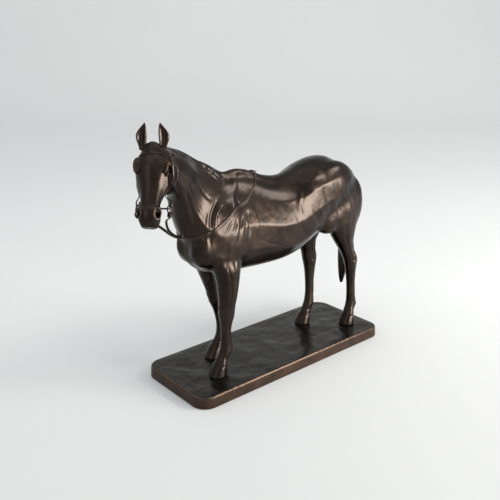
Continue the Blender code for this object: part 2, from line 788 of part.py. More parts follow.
def beyond(name, origin, axis):
    """All the room beyond a plane, as a cutter."""
    size = WITHERS_HEIGHT * 1.8
    bm = bmesh.new()
    bmesh.ops.create_cube(bm, size=size)
    mesh = place_along(name, origin + axis * size / 2, axis, mesh_from(name, bm))
    return add_object(name, mesh)


def bounds(item):
    corners = [item.matrix_world @ Vector(corner) for corner in item.bound_box]
    low = Vector([min(corner[axis] for corner in corners) for axis in range(3)])
    high = Vector([max(corner[axis] for corner in corners) for axis in range(3)])
    return low, high


def overlaps(one, other):
    low, high = bounds(one)
    other_low, other_high = bounds(other)
    return all(low[axis] < other_high[axis] and other_low[axis] < high[axis] for axis in range(3))


def casting(name, cuts, keep=None, add=(), bores=()):
    """One casting: the skin inside a region, with spigots added, then sockets and grooves cut."""
    item = add_object(name, CLAY.data.copy(), PATINA)
    if keep:
        boolean(item, keep, "INTERSECT")
    for cutter in cuts:
        boolean(item, cutter)
    bake(item)
    for piece in add:
        boolean(item, piece, "UNION")
    for cutter in bores:
        boolean(item, cutter)
    for groove in grooves:
        if overlaps(item, groove):
            boolean(item, groove)
    bake(item)
    keep_largest_shell(item)
    return item


def pin(name, start, direction):
    """A joint pin driven in from the surface, and the bore that it fills."""
    surface = SKIN.ray_cast(start, direction)[0]
    cylinder(name, start, surface - direction * PIN_SINK, PIN_RADIUS, FIXING_BRASS, 14)
    outside = surface + direction * 2 * PIN_RADIUS
    return cylinder(name + "_bore", start - direction * GAP, outside, PIN_RADIUS + GAP, None, 14)


def leg_castings():
    """The four legs; returns what each takes out of the torso."""
    taken = []
    depth = Vector((0, 0, SOCKET_DEPTH))
    gap = Vector((0, 0, GAP))
    far = WITHERS_HEIGHT
    for name, shape in LEGS.items():
        side, joint = shape[1], shape[4]
        front, back, _ = leg_section(shape, joint)
        seat = (front + back) / 2
        sole = sum(leg_section(shape, 0)[:2], Vector()) / 2
        sides = (-far, 0) if side == NEAR else (0, far)
        span = LEG_SPAN * UNIT
        low = Vector((seat.x - span, sides[0], -PLINTH_HEIGHT))
        keep = cuboid(name + "_region", low, Vector((seat.x + span, sides[1], seat.z)))
        taken.append(cuboid(name + "_space", low, Vector((seat.x + span, sides[1], seat.z + GAP))))
        spigot = cylinder(name + "_spigot", seat - depth / 2, seat + depth, LEG_SPIGOT_RADIUS)
        taken.append(cylinder(name + "_socket", seat - depth / 2, seat + depth + gap, LEG_SPIGOT_RADIUS + GAP))
        outward = Vector((0, side, 0))
        pin_bore = pin(name.replace("leg", "leg_pin"), seat + depth / 2 - outward * PIN_START, outward)
        taken.append(pin_bore)
        top = sole + Vector((0, 0, STUD_IN_HOOF))
        stud_bore = cylinder(name + "_stud_bore", sole - depth, top + gap, STUD_RADIUS + GAP)
        casting(name, (), keep, (spigot,), (pin_bore, stud_bore))
    return taken


def neck_casting():
    """Head and neck in one; returns what it takes out of the torso."""
    middle, axis = joint_axis()
    spigot_end = middle - axis * SOCKET_DEPTH
    spigot = cylinder("neck_spigot", middle + axis * SOCKET_DEPTH / 2, spigot_end, NECK_SPIGOT_RADIUS, None, 40)
    hollow_end = middle + axis * NECK_BORE_DEPTH
    hollow = cylinder("neck_hollow", hollow_end, spigot_end - axis * SOCKET_DEPTH, NECK_BORE_RADIUS, None, 32)
    seat = middle - axis * SOCKET_DEPTH / 2
    pins = []
    for side, word in ((NEAR, "near"), (OFF, "off")):
        outward = Vector((0, side, 0))
        pins.append(pin("neck_pin_" + word, seat + outward * (NECK_BORE_RADIUS + PIN_START), outward))
    casting("neck_and_head", (), beyond("neck_region", middle, axis), (spigot,), (hollow, *pins))
    socket_end = middle - axis * (SOCKET_DEPTH + GAP)
    socket = cylinder("neck_socket", middle + axis * SOCKET_DEPTH, socket_end, NECK_SPIGOT_RADIUS + GAP, None, 40)
    passage = cylinder("neck_passage", middle, socket_end - axis * CORE_PASSAGE, NECK_BORE_RADIUS, None, 32)
    return [beyond("neck_space", middle - axis * GAP, axis), socket, passage, *pins]


def tail_rings(spread):
    rings = []
    for front, back, widths in TAIL:
        rings.append(section_ring(at(*front), at(*back), widths, Vector((0, 1, 0)), 14))
    centres = [sum(ring, Vector()) / len(ring) for ring in rings]
    spaced = []
    for ring, centre in zip(rings, centres):
        spaced.append([point + (point - centre).normalized() * spread for point in ring])
    start = (centres[0] - centres[1]).normalized() * spread
    end = (centres[-1] - centres[-2]).normalized() * spread
    spaced[0] = [point + start for point in spaced[0]]
    spaced[-1] = [point + end for point in spaced[-1]]
    return spaced


def tail():
    """The tail, whose root is its own spigot; returns what it takes out of the torso."""
    meshes = []
    for spread in (0, GAP * 1.5):
        bm = bmesh.new()
        loft(bm, tail_rings(spread))
        meshes.append(mesh_from("tail", bm))
    item = add_object("tail", meshes[0], PATINA)
    outward = Vector((0, NEAR, 0))
    pin_bore = pin("tail_pin", at(*TAIL_PIN) - outward * PIN_START, outward)
    boolean(item, pin_bore)
    bake(item)
    return [add_object("tail_space", meshes[1]), pin_bore]


def trunk_core():
    """The hollow left by the core inside the torso."""
    wall = CASTING_WALL / UNIT
    rings = []
    for station in CORE_STATIONS:
        top = table_value([(row[0], row[1]) for row in TRUNK], station) - wall * 1.4
        bottom = table_value([(row[0], row[2]) for row in TRUNK], station) + wall * 1.4
        widths = [table_value([(row[0], row[3][item]) for row in TRUNK], station) - wall for item in range(5)]
        widths = [max(width, wall / 2) for width in widths]
        rings.append(section_ring(at(station, 0, top), at(station, 0, bottom), widths, Vector((0, 1, 0)), 16))
    bm = bmesh.new()
    loft(bm, rings)
    return add_object("trunk_core", mesh_from("trunk_core", bm))


# Plinth and hoof fixings


def stance():
    """The least and greatest X and Y of the four hooves."""
    xs, ys = [], []
    for shape in LEGS.values():
        front, back, width = leg_section(shape, 0)
        xs += [front.x, back.x]
        ys += [front.y - width * UNIT, front.y + width * UNIT]
    return min(xs), max(xs), min(ys), max(ys)


def plinth_outline(inset):
    """The plinth's plan, drawn in from its edge by an inset, with each corner an arc."""
    front, rear, near, off = stance()
    front, rear = front - TOE_MARGIN + inset, rear + HEEL_MARGIN - inset
    near, off = near - NEAR_MARGIN + inset, off + OFF_MARGIN - inset
    corners = (
        (rear, off, -1, -1, REAR_OFF_CORNER_RADIUS, 0),
        (front, off, 1, -1, FRONT_CORNER_RADIUS, 90),
        (front, near, 1, 1, FRONT_CORNER_RADIUS, 180),
        (rear, near, -1, 1, REAR_NEAR_CORNER_RADIUS, 270),
    )
    points = []
    for x, y, inward_x, inward_y, radius, start in corners:
        radius = max(radius - inset, PLINTH_LIP_RADIUS)
        for step in range(9):
            angle = radians(start + 90 * step / 8)
            middle_x, middle_y = x + inward_x * radius, y + inward_y * radius
            points.append((middle_x + radius * cos(angle), middle_y + radius * sin(angle)))
    return points


def slab(name, outline, low, high):
    """A flat outline thickened between two heights, as a mesh."""
    curve = bpy.data.curves.new(name, "CURVE")
    curve.dimensions = "2D"
    curve.fill_mode = "BOTH"
    curve.extrude = (high - low) / 2
    spline = curve.splines.new("POLY")
    spline.points.add(len(outline) - 1)
    for point, (x, y) in zip(spline.points, outline):
        point.co = (x, y, 0, 1)
    spline.use_cyclic_u = True
    item = bpy.data.objects.new(name + "_curve", curve)
    CUTTERS.objects.link(item)
    bpy.context.view_layer.update()
    mesh = bpy.data.meshes.new_from_object(item.evaluated_get(bpy.context.evaluated_depsgraph_get()))
    bpy.data.objects.remove(item, do_unlink=True)
    bm = bmesh.new()
    bm.from_mesh(mesh)
    bmesh.ops.remove_doubles(bm, verts=bm.verts, dist=0.00001)
    bmesh.ops.translate(bm, verts=bm.verts, vec=Vector((0, 0, (low + high) / 2)))
    bmesh.ops.dissolve_limit(bm, angle_limit=radians(1), verts=bm.verts, edges=bm.edges)
    return mesh_from(name, bm)


def plinth(bores):
    item = add_object("base_plinth", slab("base_plinth", plinth_outline(0), 0, PLINTH_HEIGHT), PLINTH_PATINA)
    bm = bmesh.new()
    bm.from_mesh(item.data)
    weights = bm.edges.layers.float.new("bevel_weight_edge")
    for edge in bm.edges:
        if all(vert.co.z > PLINTH_HEIGHT - GAP for vert in edge.verts):
            edge[weights] = 1.0
    bm.to_mesh(item.data)
    bm.free()
    lip = item.modifiers.new("lip", "BEVEL")
    lip.limit_method = "WEIGHT"
    lip.width = PLINTH_LIP_RADIUS
    lip.segments = 3
    inside = slab("plinth_hollow", plinth_outline(PLINTH_SKIRT), -PLINTH_HEIGHT, PLINTH_HEIGHT - PLINTH_PLATE)
    boolean(item, add_object("plinth_hollow", inside))
    for bore in bores:
        boolean(item, bore)
    bake(item)


def hoof_fixings():
    """Stud, washer and nut of each hoof; returns the plinth's bores."""
    bores = []
    plate_under = PLINTH_HEIGHT - PLINTH_PLATE
    washer_top = plate_under - GAP
    washer_under = washer_top - WASHER_THICKNESS
    nut_top = washer_under - GAP
    nut_under = nut_top - NUT_THICKNESS
    for name, shape in LEGS.items():
        sole = sum(leg_section(shape, 0)[:2], Vector()) / 2
        x, y, z = sole
        word = name.replace("leg", "")
        low = Vector((x, y, nut_under - STUD_PAST_NUT))
        cylinder("hoof_stud_" + word, low, Vector((x, y, z + STUD_IN_HOOF)), STUD_RADIUS, FIXING_BRASS, 20)
        bore = cylinder("plinth_bore_" + word, Vector((x, y, 0)), Vector((x, y, z)), STUD_RADIUS + GAP, None, 20)
        bores.append(bore)
        for kind, top, under, radius, sides in (
            ("hoof_washer_", washer_top, washer_under, WASHER_RADIUS, 28),
            ("hoof_nut_", nut_top, nut_under, NUT_ACROSS_CORNERS / 2, 6),
        ):
            ring = cylinder(kind + word, Vector((x, y, under)), Vector((x, y, top)), radius, FIXING_BRASS, sides)
            boolean(ring, bore)
            bake(ring)
    return bores


def rest_at_origin():
    """Stand the statue with the bottom centre of its box at the origin."""
    bpy.context.view_layer.update()
    boxes = [bounds(item) for item in STATUE.objects]
    low = Vector([min(box[0][axis] for box in boxes) for axis in range(3)])
    high = Vector([max(box[1][axis] for box in boxes) for axis in range(3)])
    holder = bpy.data.objects.new("statue", None)
    STATUE.objects.link(holder)
    for item in STATUE.objects:
        if item is not holder:
            item.parent = holder
    holder.location = (-(low.x + high.x) / 2, -(low.y + high.y) / 2, -low.z)
    bpy.context.view_layer.update()


bridle()
reins()
buckle()
torso_cuts = leg_castings() + neck_casting() + tail() + [trunk_core()]
casting("torso", torso_cuts)
plinth(hoof_fixings())
rest_at_origin()
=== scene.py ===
import json
from math import cos, pi, radians, sin, tau

import bmesh
import bpy
import numpy as np
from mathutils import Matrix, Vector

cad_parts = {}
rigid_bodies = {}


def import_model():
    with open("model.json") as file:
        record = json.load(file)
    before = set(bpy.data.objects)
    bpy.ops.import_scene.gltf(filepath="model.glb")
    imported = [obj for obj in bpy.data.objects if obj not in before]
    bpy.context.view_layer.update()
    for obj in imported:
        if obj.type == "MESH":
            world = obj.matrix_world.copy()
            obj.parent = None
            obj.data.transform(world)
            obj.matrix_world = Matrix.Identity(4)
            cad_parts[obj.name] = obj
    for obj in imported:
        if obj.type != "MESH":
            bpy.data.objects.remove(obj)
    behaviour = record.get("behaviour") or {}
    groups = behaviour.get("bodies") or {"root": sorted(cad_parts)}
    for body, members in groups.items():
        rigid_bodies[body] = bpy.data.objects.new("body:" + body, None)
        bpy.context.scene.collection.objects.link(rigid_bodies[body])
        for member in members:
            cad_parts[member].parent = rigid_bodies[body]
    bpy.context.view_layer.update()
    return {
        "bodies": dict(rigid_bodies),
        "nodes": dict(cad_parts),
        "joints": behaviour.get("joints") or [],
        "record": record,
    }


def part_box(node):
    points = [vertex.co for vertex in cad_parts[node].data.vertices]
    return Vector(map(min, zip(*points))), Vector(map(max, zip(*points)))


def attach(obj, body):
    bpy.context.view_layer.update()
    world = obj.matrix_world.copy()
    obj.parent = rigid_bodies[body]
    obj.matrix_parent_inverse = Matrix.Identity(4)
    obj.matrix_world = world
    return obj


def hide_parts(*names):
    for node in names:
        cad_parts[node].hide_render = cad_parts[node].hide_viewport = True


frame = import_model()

import openvdb
from mathutils import Matrix, Vector, noise
from mathutils.bvhtree import BVHTree

# The plinth. A shallow bronze tray, open underneath, cast with a lightly uneven ground on top, a painted
# highlight along its lip, a painted greenish-grey reflection on its top, and a browner, rougher patina than
# the horse's.
plinth_low, plinth_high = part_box("base_plinth")
CORNERS = {(-1, -1): 0.018, (-1, 1): 0.018, (1, 1): 0.020, (1, -1): 0.014}
WALL = 0.0045
PLATE = 0.0050
LIP = 0.0024
GROUND_SWELL = 0.0009
GROUND_TOOLING = 0.0003
GROUND_RINGS = 27
GROUND_MARGIN = 0.006
DRAFT = 0.0006
FOOT = 0.0016
CORNER_STEPS = 12
EDGE_SPACING = 0.0035
# How far in from the outer edge the painted highlight on the lip reaches.
LIP_HIGHLIGHT_REACH = 0.0032


class Tone:
    """A value or colour that varies over a surface: one output of a node in a finish."""

    def __init__(self, finish, socket):
        self.finish = finish
        self.socket = socket

    def _maths(self, operation, first, second):
        return self.finish.node("ShaderNodeMath", {"operation": operation}, {0: first, 1: second})

    def __add__(self, other):
        return self._maths("ADD", self, other)

    __radd__ = __add__

    def __sub__(self, other):
        return self._maths("SUBTRACT", self, other)

    def __rsub__(self, other):
        return self._maths("SUBTRACT", other, self)

    def __mul__(self, other):
        return self._maths("MULTIPLY", self, other)

    __rmul__ = __mul__

    def between(self, low, high):
        """0 below low, 1 above high, and a smooth rise between them."""
        ranges = {0: self, 1: low, 2: high, 3: 0.0, 4: 1.0}
        return self.finish.node("ShaderNodeMapRange", {"interpolation_type": "SMOOTHSTEP"}, ranges)


class Finish:
    """A material of one metal finish, and the nodes that vary it over the surface."""

    def __init__(self, name, **fixed):
        self.material = bpy.data.materials.new(name)
        self.material.use_nodes = True
        self.tree = self.material.node_tree
        self.shader = self.tree.nodes["Principled BSDF"]
        for socket, value in fixed.items():
            self.shader.inputs[socket.replace("_", " ").title()].default_value = value
        self.place = self.node("ShaderNodeTexCoord", {}, {}, "Object")

    def node(self, kind, settings, inputs, output=0):
        made = self.tree.nodes.new(kind)
        for setting, value in settings.items():
            setattr(made, setting, value)
        for socket, value in inputs.items():
            if isinstance(value, Tone):
                self.tree.links.new(value.socket, made.inputs[socket])
            else:
                made.inputs[socket].default_value = value
        return Tone(self, made.outputs[output])

    def cloud(self, size, detail=3.0, warp=0.0):
        """Soft noise from 0 to 1 whose patches are about this size, in metres."""
        inputs = {"Vector": self.place, "Scale": 1 / size, "Detail": detail, "Distortion": warp}
        return self.node("ShaderNodeTexNoise", {}, inputs)

    def marked(self, name):
        """A value from 0 to 1 that the mesh carries at its vertices."""
        return self.node("ShaderNodeAttribute", {"attribute_name": name}, {}, "Fac")

    def blend(self, share, first, second):
        colours = [value if isinstance(value, Tone) else (*value, 1) for value in (first, second)]
        inputs = {0: share, 6: colours[0], 7: colours[1]}
        return self.node("ShaderNodeMix", {"data_type": "RGBA"}, inputs, 2)

    def drive(self, socket, tone):
        self.tree.links.new(tone.socket, self.shader.inputs[socket])

    def emboss(self, height, depth, strength=1.0):
        """Relief from a height of 0 to 1 that stands this far out, in metres."""
        bump = {"Height": height, "Distance": depth, "Strength": strength}
        self.drive("Normal", self.node("ShaderNodeBump", {}, bump))


def stand(name, mesh, finish):
    """Stands a finished mesh in the scene, riding on the statue's one body."""
    mesh.materials.append(finish.material)
    piece = bpy.data.objects.new(name, mesh)
    bpy.context.scene.collection.objects.link(piece)
    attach(piece, "root")
    return piece


def solid_from(name, points, faces, finish):
    """A piece of the statue from points and faces."""
    mesh = bpy.data.meshes.new(name)
    mesh.from_pydata([tuple(point) for point in points], [], faces)
    mesh.validate()
    bm = bmesh.new()
    bm.from_mesh(mesh)
    bmesh.ops.recalc_face_normals(bm, faces=bm.faces)
    for face in bm.faces:
        face.smooth = True
    bm.to_mesh(mesh)
    bm.free()
    return stand(name, mesh, finish)


def tube_quads(rings, sides, joined=False):
    """Quads of a skin over rings of points in a row; joined, the last ring meets the first."""
    quads = []
    for ring in range(rings if joined else rings - 1):
        first, second = ring * sides, (ring + 1) % rings * sides
        for side in range(sides):
            after = (side + 1) % sides
            quads.append((first + side, first + after, second + after, second + side))
    return quads


def end_caps(rings, sides):
    """The two faces that close a tube's ends."""
    last = (rings - 1) * sides
    return [tuple(range(sides - 1, -1, -1)), tuple(range(last, last + sides))]


def mark(mesh, name, values):
    """Lets the mesh carry a value from 0 to 1 at each vertex."""
    layer = mesh.attributes.new(name, "FLOAT", "POINT")
    layer.data.foreach_set("value", np.clip(values, 0, 1).astype(np.float32))


def plinth_edge(inset):
    """The plinth's outline, a given way in from its foot."""
    points = []
    corner_order = ((1, 1), (-1, 1), (-1, -1), (1, -1))
    for turn, corner in enumerate(corner_order):
        radius = CORNERS[corner]
        limits = [(plinth_low[axis], plinth_high[axis])[corner[axis] > 0] for axis in (0, 1)]
        centre = [limits[axis] - corner[axis] * radius for axis in (0, 1)]
        for step in range(CORNER_STEPS + 1):
            angle = pi / 2 * (turn + step / CORNER_STEPS)
            reach = radius - inset
            points.append(Vector((centre[0] + reach * cos(angle), centre[1] + reach * sin(angle), 0)))
    dense = []
    for index, point in enumerate(points):
        following = points[(index + 1) % len(points)]
        straight = index % (CORNER_STEPS + 1) == CORNER_STEPS
        count = max(1, round((following - point).length / EDGE_SPACING)) if straight else 1
        dense += [point.lerp(following, step / count) for step in range(count)]
    return dense


def ground_height(x, y):
    """How far the ground stands above the plinth's flat top."""
    swell = noise.noise(Vector((x, y, 0.3)) * 34) + 0.5 * noise.noise(Vector((x, y, 0.9)) * 71)
    tooling = noise.noise(Vector((x * 1.4, y, 0.1)) * 150)
    return swell * GROUND_SWELL + tooling * GROUND_TOOLING


def plinth():
    top = plinth_high.z
    under = top - PLATE
    profile = [(WALL, under), (WALL, DRAFT), (WALL - 0.0004, 0.0)]
    profile += [(0.0009, 0.0), (0.0002, DRAFT), (0.0, FOOT)]
    profile += [(DRAFT * step / 4, FOOT + (top - LIP - FOOT) * step / 4) for step in range(1, 4)]
    for step in range(7):
        angle = pi / 2 * step / 6
        profile.append((DRAFT + LIP * (1 - cos(angle)), top - LIP * (1 - sin(angle))))
    outline, inner_line = plinth_edge(0), plinth_edge(WALL)
    rows = []
    for inset, height in profile:
        share = inset / WALL
        rows.append([Vector((*a.lerp(b, share).xy, height)) for a, b in zip(outline, inner_line)])
    half = (plinth_high.y - plinth_low.y) / 2
    middle = (plinth_high.y + plinth_low.y) / 2
    rim = rows[-1]
    for step in range(1, GROUND_RINGS + 1):
        share = step / GROUND_RINGS
        row = []
        for point in rim:
            along = min(max(point.x, plinth_low.x + half), plinth_high.x - half)
            place = Vector((*point.xy, 0)).lerp(Vector((along, middle, 0)), share)
            rise = min(1.0, share * half / GROUND_MARGIN)
            row.append(Vector((place.x, place.y, top + ground_height(place.x, place.y) * rise)))
        rows.append(row)
    count = len(rim)
    points = [point for row in rows for point in row]
    faces = [*tube_quads(len(rows), count), tuple(range(count))]
    piece = solid_from("plinth_casting", points, faces, ground_patina)
    bm = bmesh.new()
    bm.from_mesh(piece.data)
    bmesh.ops.remove_doubles(bm, verts=bm.verts, dist=0.00002)
    bmesh.ops.recalc_face_normals(bm, faces=bm.faces)
    bm.to_mesh(piece.data)
    bm.free()
    heights = np.array([vert.co[:] for vert in piece.data.vertices])
    below = top - heights[:, 2]
    # A band along the outer lip that carries the painted highlight.
    lip = np.exp(-(((DRAFT - below) / 0.0011) ** 2)) * (np.abs(below) < 0.004)
    inner = np.array([plinth_edge_distance(point) for point in heights])
    mark(piece.data, "side", (below - DRAFT) / 0.002)
    mark(piece.data, "lip", lip * (inner < LIP_HIGHLIGHT_REACH))
    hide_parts("base_plinth")


def plinth_edge_distance(point):
    return min(min(point[axis] - plinth_low[axis], plinth_high[axis] - point[axis]) for axis in (0, 1))


ground_patina = Finish("ground_patina", metallic=0.8)
ground_side, ground_lip = ground_patina.marked("side"), ground_patina.marked("lip")
ground_blotch = ground_patina.cloud(0.016, 4.0, 0.4)
ground_grain = ground_patina.cloud(0.0022, 3.0)
# The top's darker greenish grey is a painted reflection of the room; the sides keep the browner patina.
TOP_PAINTED_REFLECTION_DARK, TOP_PAINTED_REFLECTION_PALE = (0.018, 0.0175, 0.014), (0.034, 0.029, 0.022)
FLANK_DARK, FLANK_PALE = (0.034, 0.020, 0.013), (0.056, 0.032, 0.021)
ground_top_painted_reflection = ground_patina.blend(ground_blotch.between(0.35, 0.65), TOP_PAINTED_REFLECTION_DARK, TOP_PAINTED_REFLECTION_PALE)
ground_flank = ground_patina.blend(ground_blotch.between(0.3, 0.7), FLANK_DARK, FLANK_PALE)
ground_colour = ground_patina.blend(ground_side, ground_top_painted_reflection, ground_flank)
# Painted highlight: the lip is painted a lighter orange, broken by grain, and given a glossier finish.
painted_lip_highlight = (ground_lip * (0.4 + ground_grain)).between(0.45, 1.0)
ground_patina.drive("Base Color", ground_patina.blend(painted_lip_highlight * 0.35, ground_colour, (0.30, 0.17, 0.10)))
ground_patina.drive("Roughness", 0.16 + 0.14 * ground_blotch + 0.16 * ground_side - 0.06 * painted_lip_highlight)
ground_patina.emboss(ground_grain * 0.5 + ground_patina.cloud(0.0065, 2.0), 0.0004, 0.6)
plinth()

# The horse. Lost-wax bronze, modelled in clay and cast hollow in seven pieces that are pinned and chased
# together. Its shape is written in hundredths of its height at the withers, from the soles of its hooves;
# it faces -X and its near (left) side is towards -Y. Clay is held here as distances on a fine grid.
UNIT = 0.00236
FROM_REAR, FROM_MIDDLE, ABOVE_TOP = 0.15264, 0.0006, 0.0003
HOOF_LINE = Vector((plinth_high.x - FROM_REAR, 0, plinth_high.z + ABOVE_TOP))
HOOF_LINE.y = (plinth_low.y + plinth_high.y) / 2 + FROM_MIDDLE
NEAR, OFF = -1, 1
REACH = 0.0054
COARSER = 1.0
FRACTIONS = (0.0, 0.08, 0.25, 0.5, 0.75, 0.92, 1.0)


def at(x, y, z):
    return Vector((x, y, z)) * UNIT + HOOF_LINE


def curve_rows(rows, steps):
    """Rows of numbers joined by smooth curves."""
    rows = np.array(rows, float)
    smooth = []
    for index in range(len(rows) - 1):
        a, b, c, d = (rows[max(0, min(len(rows) - 1, index + offset))] for offset in (-1, 0, 1, 2))
        for step in range(steps):
            t = step / steps
            rise = (c - a) * t + (2 * a - 5 * b + 4 * c - d) * t * t + (3 * b - a - 3 * c + d) * t**3
            smooth.append(b + rise / 2)
    smooth.append(rows[-1])
    return smooth


def section(top, bottom, widths, side, sides=48):
    """Points round one cross section, from its top down one side and up the other."""
    squares = [0.0, *(max(width, 0.05) ** 2 for width in widths), 0.0]
    angles = np.arange(sides) * tau / sides
    fractions = (1 - np.cos(angles)) / 2
    reach = np.sqrt(np.interp(fractions, FRACTIONS, squares)) * np.where(angles < pi, 1, -1) * UNIT
    top, bottom, side = (np.array(value) for value in (top, bottom, side))
    return top + np.outer(fractions, bottom - top) + np.outer(reach, side)


def missed(window):
    """Whether a window into the clay is empty."""
    return any(part.start >= part.stop for part in window)


class Clay:
    """A block of clay: the distance of each grid place from its surface, in metres, negative inside."""

    def __init__(self, low, high, grain):
        self.grain = grain * COARSER
        self.start = np.floor(np.array(at(*low)) / self.grain).astype(int)
        self.size = np.ceil(np.array(at(*high)) / self.grain).astype(int) + 1 - self.start
        self.field = np.full(self.size, REACH, np.float32)

    def window(self, low, high):
        first = np.floor((np.array(low) - REACH) / self.grain).astype(int) - self.start
        last = np.ceil((np.array(high) + REACH) / self.grain).astype(int) + 1 - self.start
        first, last = (np.clip(corner, 0, self.size) for corner in (first, last))
        return tuple(slice(int(a), int(b)) for a, b in zip(first, last))

    def places(self, window):
        axes = []
        for axis, part in enumerate(window):
            axes.append((np.arange(part.start, part.stop) + self.start[axis]) * self.grain)
        return np.meshgrid(*axes, indexing="ij", sparse=True)

    def add(self, window, distance, blend):
        here = self.field[window]
        distance = np.clip(distance, -REACH, REACH)
        near = np.maximum(blend - np.abs(here - distance), 0) / blend
        self.field[window] = np.minimum(here, distance) - near * near * blend / 4

    def take(self, window, distance, blend):
        self.field[window] *= -1
        self.add(window, distance, blend)
        self.field[window] *= -1

    def loft(self, rings, blend):
        sides = len(rings[0])
        points = np.concatenate([*rings, [rings[0].mean(0)], [rings[-1].mean(0)]]).astype(np.float32)
        triangles = []
        last = (len(rings) - 1) * sides
        for index in range(sides):
            following = (index + 1) % sides
            triangles.append((following, index, len(points) - 2))
            triangles.append((last + index, last + following, len(points) - 1))
        window = self.window(points.min(0), points.max(0))
        if missed(window):
            return
        grid = openvdb.FloatGrid.createLevelSetFromPolygons(
            points,
            triangles=np.array(triangles, np.uint32),
            quads=np.array(tube_quads(len(rings), sides), np.uint32),
            transform=openvdb.createLinearTransform(voxelSize=self.grain),
            halfWidth=REACH / self.grain,
        )
        part = np.empty([side.stop - side.start for side in window], np.float32)
        first = tuple(int(side.start + start) for side, start in zip(window, self.start))
        grid.copyToArray(part, ijk=first)
        self.add(window, part, blend)

    def ball(self, centre, axes, radii, blend, hollow=False):
        """An ellipsoid of clay, or with hollow, its shape pressed out of the clay."""
        radii = np.array(radii) * UNIT
        spread = sum(np.abs(np.array(axis)) * radius for axis, radius in zip(axes, radii))
        centre = np.array(centre)
        window = self.window(centre - spread, centre + spread)
        if missed(window):
            return
        x, y, z = self.places(window)
        once = twice = 0
        for axis, radius in zip(axes, radii):
            way = (x - centre[0]) * axis[0] + (y - centre[1]) * axis[1] + (z - centre[2]) * axis[2]
            once = once + (way / radius) ** 2
            twice = twice + (way / radius**2) ** 2
        once, twice = np.sqrt(once), np.sqrt(twice)
        distance = once * (once - 1) / np.maximum(twice, 1e-6)
        (self.take if hollow else self.add)(window, distance, blend)

    def strand(self, points, radii, blend, hollow=False):
        """A tapering roll of clay along a row of points."""
        points = np.array([tuple(point) for point in points])
        radii = np.array(radii) * UNIT
        window = self.window(points.min(0) - radii.max(), points.max(0) + radii.max())
        if missed(window):
            return
        x, y, z = self.places(window)
        distance = np.full([part.stop - part.start for part in window], REACH)
        for start, end, thick, thin in zip(points, points[1:], radii, radii[1:]):
            run = end - start
            reach = max((run**2).sum(), 1e-12)
            away = [x - start[0], y - start[1], z - start[2]]
            share = np.clip((away[0] * run[0] + away[1] * run[1] + away[2] * run[2]) / reach, 0, 1)
            gap = sum((a - share * r) ** 2 for a, r in zip(away, run))
            distance = np.minimum(distance, np.sqrt(gap) - (thick + (thin - thick) * share))
        (self.take if hollow else self.add)(window, distance, blend)

    def soften(self, reach):
        """Smooth away creases finer than this, in metres."""
        for _ in range(max(1, round(2 * (reach / self.grain) ** 2))):
            for axis in range(3):
                inner = [slice(None)] * 3
                before, middle, after = (list(inner) for _ in range(3))
                before[axis], middle[axis], after[axis] = slice(0, -2), slice(1, -1), slice(2, None)
                before, middle, after = tuple(before), tuple(middle), tuple(after)
                total = self.field[before] + self.field[after] + 2 * self.field[middle]
                self.field[middle] = total / 4

    def skin(self):
        """Points and quads of the clay's surface."""
        grid = openvdb.FloatGrid(REACH)
        grid.transform = openvdb.createLinearTransform(voxelSize=self.grain)
        grid.copyFromArray(self.field, ijk=tuple(int(index) for index in self.start))
        points, quads = grid.convertToQuads(isovalue=0.0)
        return np.array(points, float), np.array(quads, int)


# Trunk: station, height of back and belly, half widths from top to bottom
TRUNK = (
    (-52, 78, 60, 3, 5.5, 6.5, 6, 3.5),
    (-47, 86, 55, 3.5, 7.5, 10, 10, 6),
    (-40, 92, 51.5, 3, 8, 12, 12.5, 8),
    (-32, 97, 49.5, 2.6, 8, 12.6, 12.8, 8.5),
    (-24, 100, 49, 2.4, 8, 12.5, 13, 8.5),
    (-15, 98.5, 48.5, 2.8, 8.5, 13.2, 13.5, 8.5),
    (-5, 94.5, 48.2, 4.5, 10.5, 14.5, 14.3, 9),
    (5, 92.8, 48.3, 6, 12, 15.2, 14.8, 9),
    (14, 94.2, 50, 7.6, 13.2, 15.2, 14.6, 8.8),
    (21, 96.6, 52.5, 9.2, 14, 15.2, 13.8, 8),
    (29, 98.6, 55.5, 9, 14, 15, 12.6, 7),
    (37, 98.6, 59, 8.2, 13.4, 14.6, 12, 6.5),
    (45, 95.4, 63, 6.8, 12, 13.8, 11.5, 6),
    (53, 90.2, 67, 5, 10, 12.4, 11, 6.5),
    (59.5, 86, 71, 3, 6.8, 9, 8.5, 5),
)
# Neck: crest point, throat point, half widths from crest to throat
NECK = (
    (-22, 0, 99, -44, 0, 62, 2.2, 7, 11.5, 12, 9),
    (-30, 0, 99.5, -52.5, 0, 70, 2, 6.5, 9.5, 11, 8),
    (-38, -0.6, 104, -56.5, -0.8, 78, 1.8, 5.2, 7.6, 8.6, 6),
    (-47, -2.6, 108.2, -59.5, -3.2, 86, 1.7, 4.6, 6.2, 6.8, 4.8),
    (-56, -5.8, 113, -62.5, -7, 93.5, 1.7, 4.4, 5.4, 5.6, 4),
    (-64.5, -7.6, 116.4, -66.5, -9, 98, 1.8, 4.4, 5.2, 5, 3.6),
    (-70, -9, 118, -70, -12, 100.5, 2, 4.6, 5.2, 5, 3.5),
)
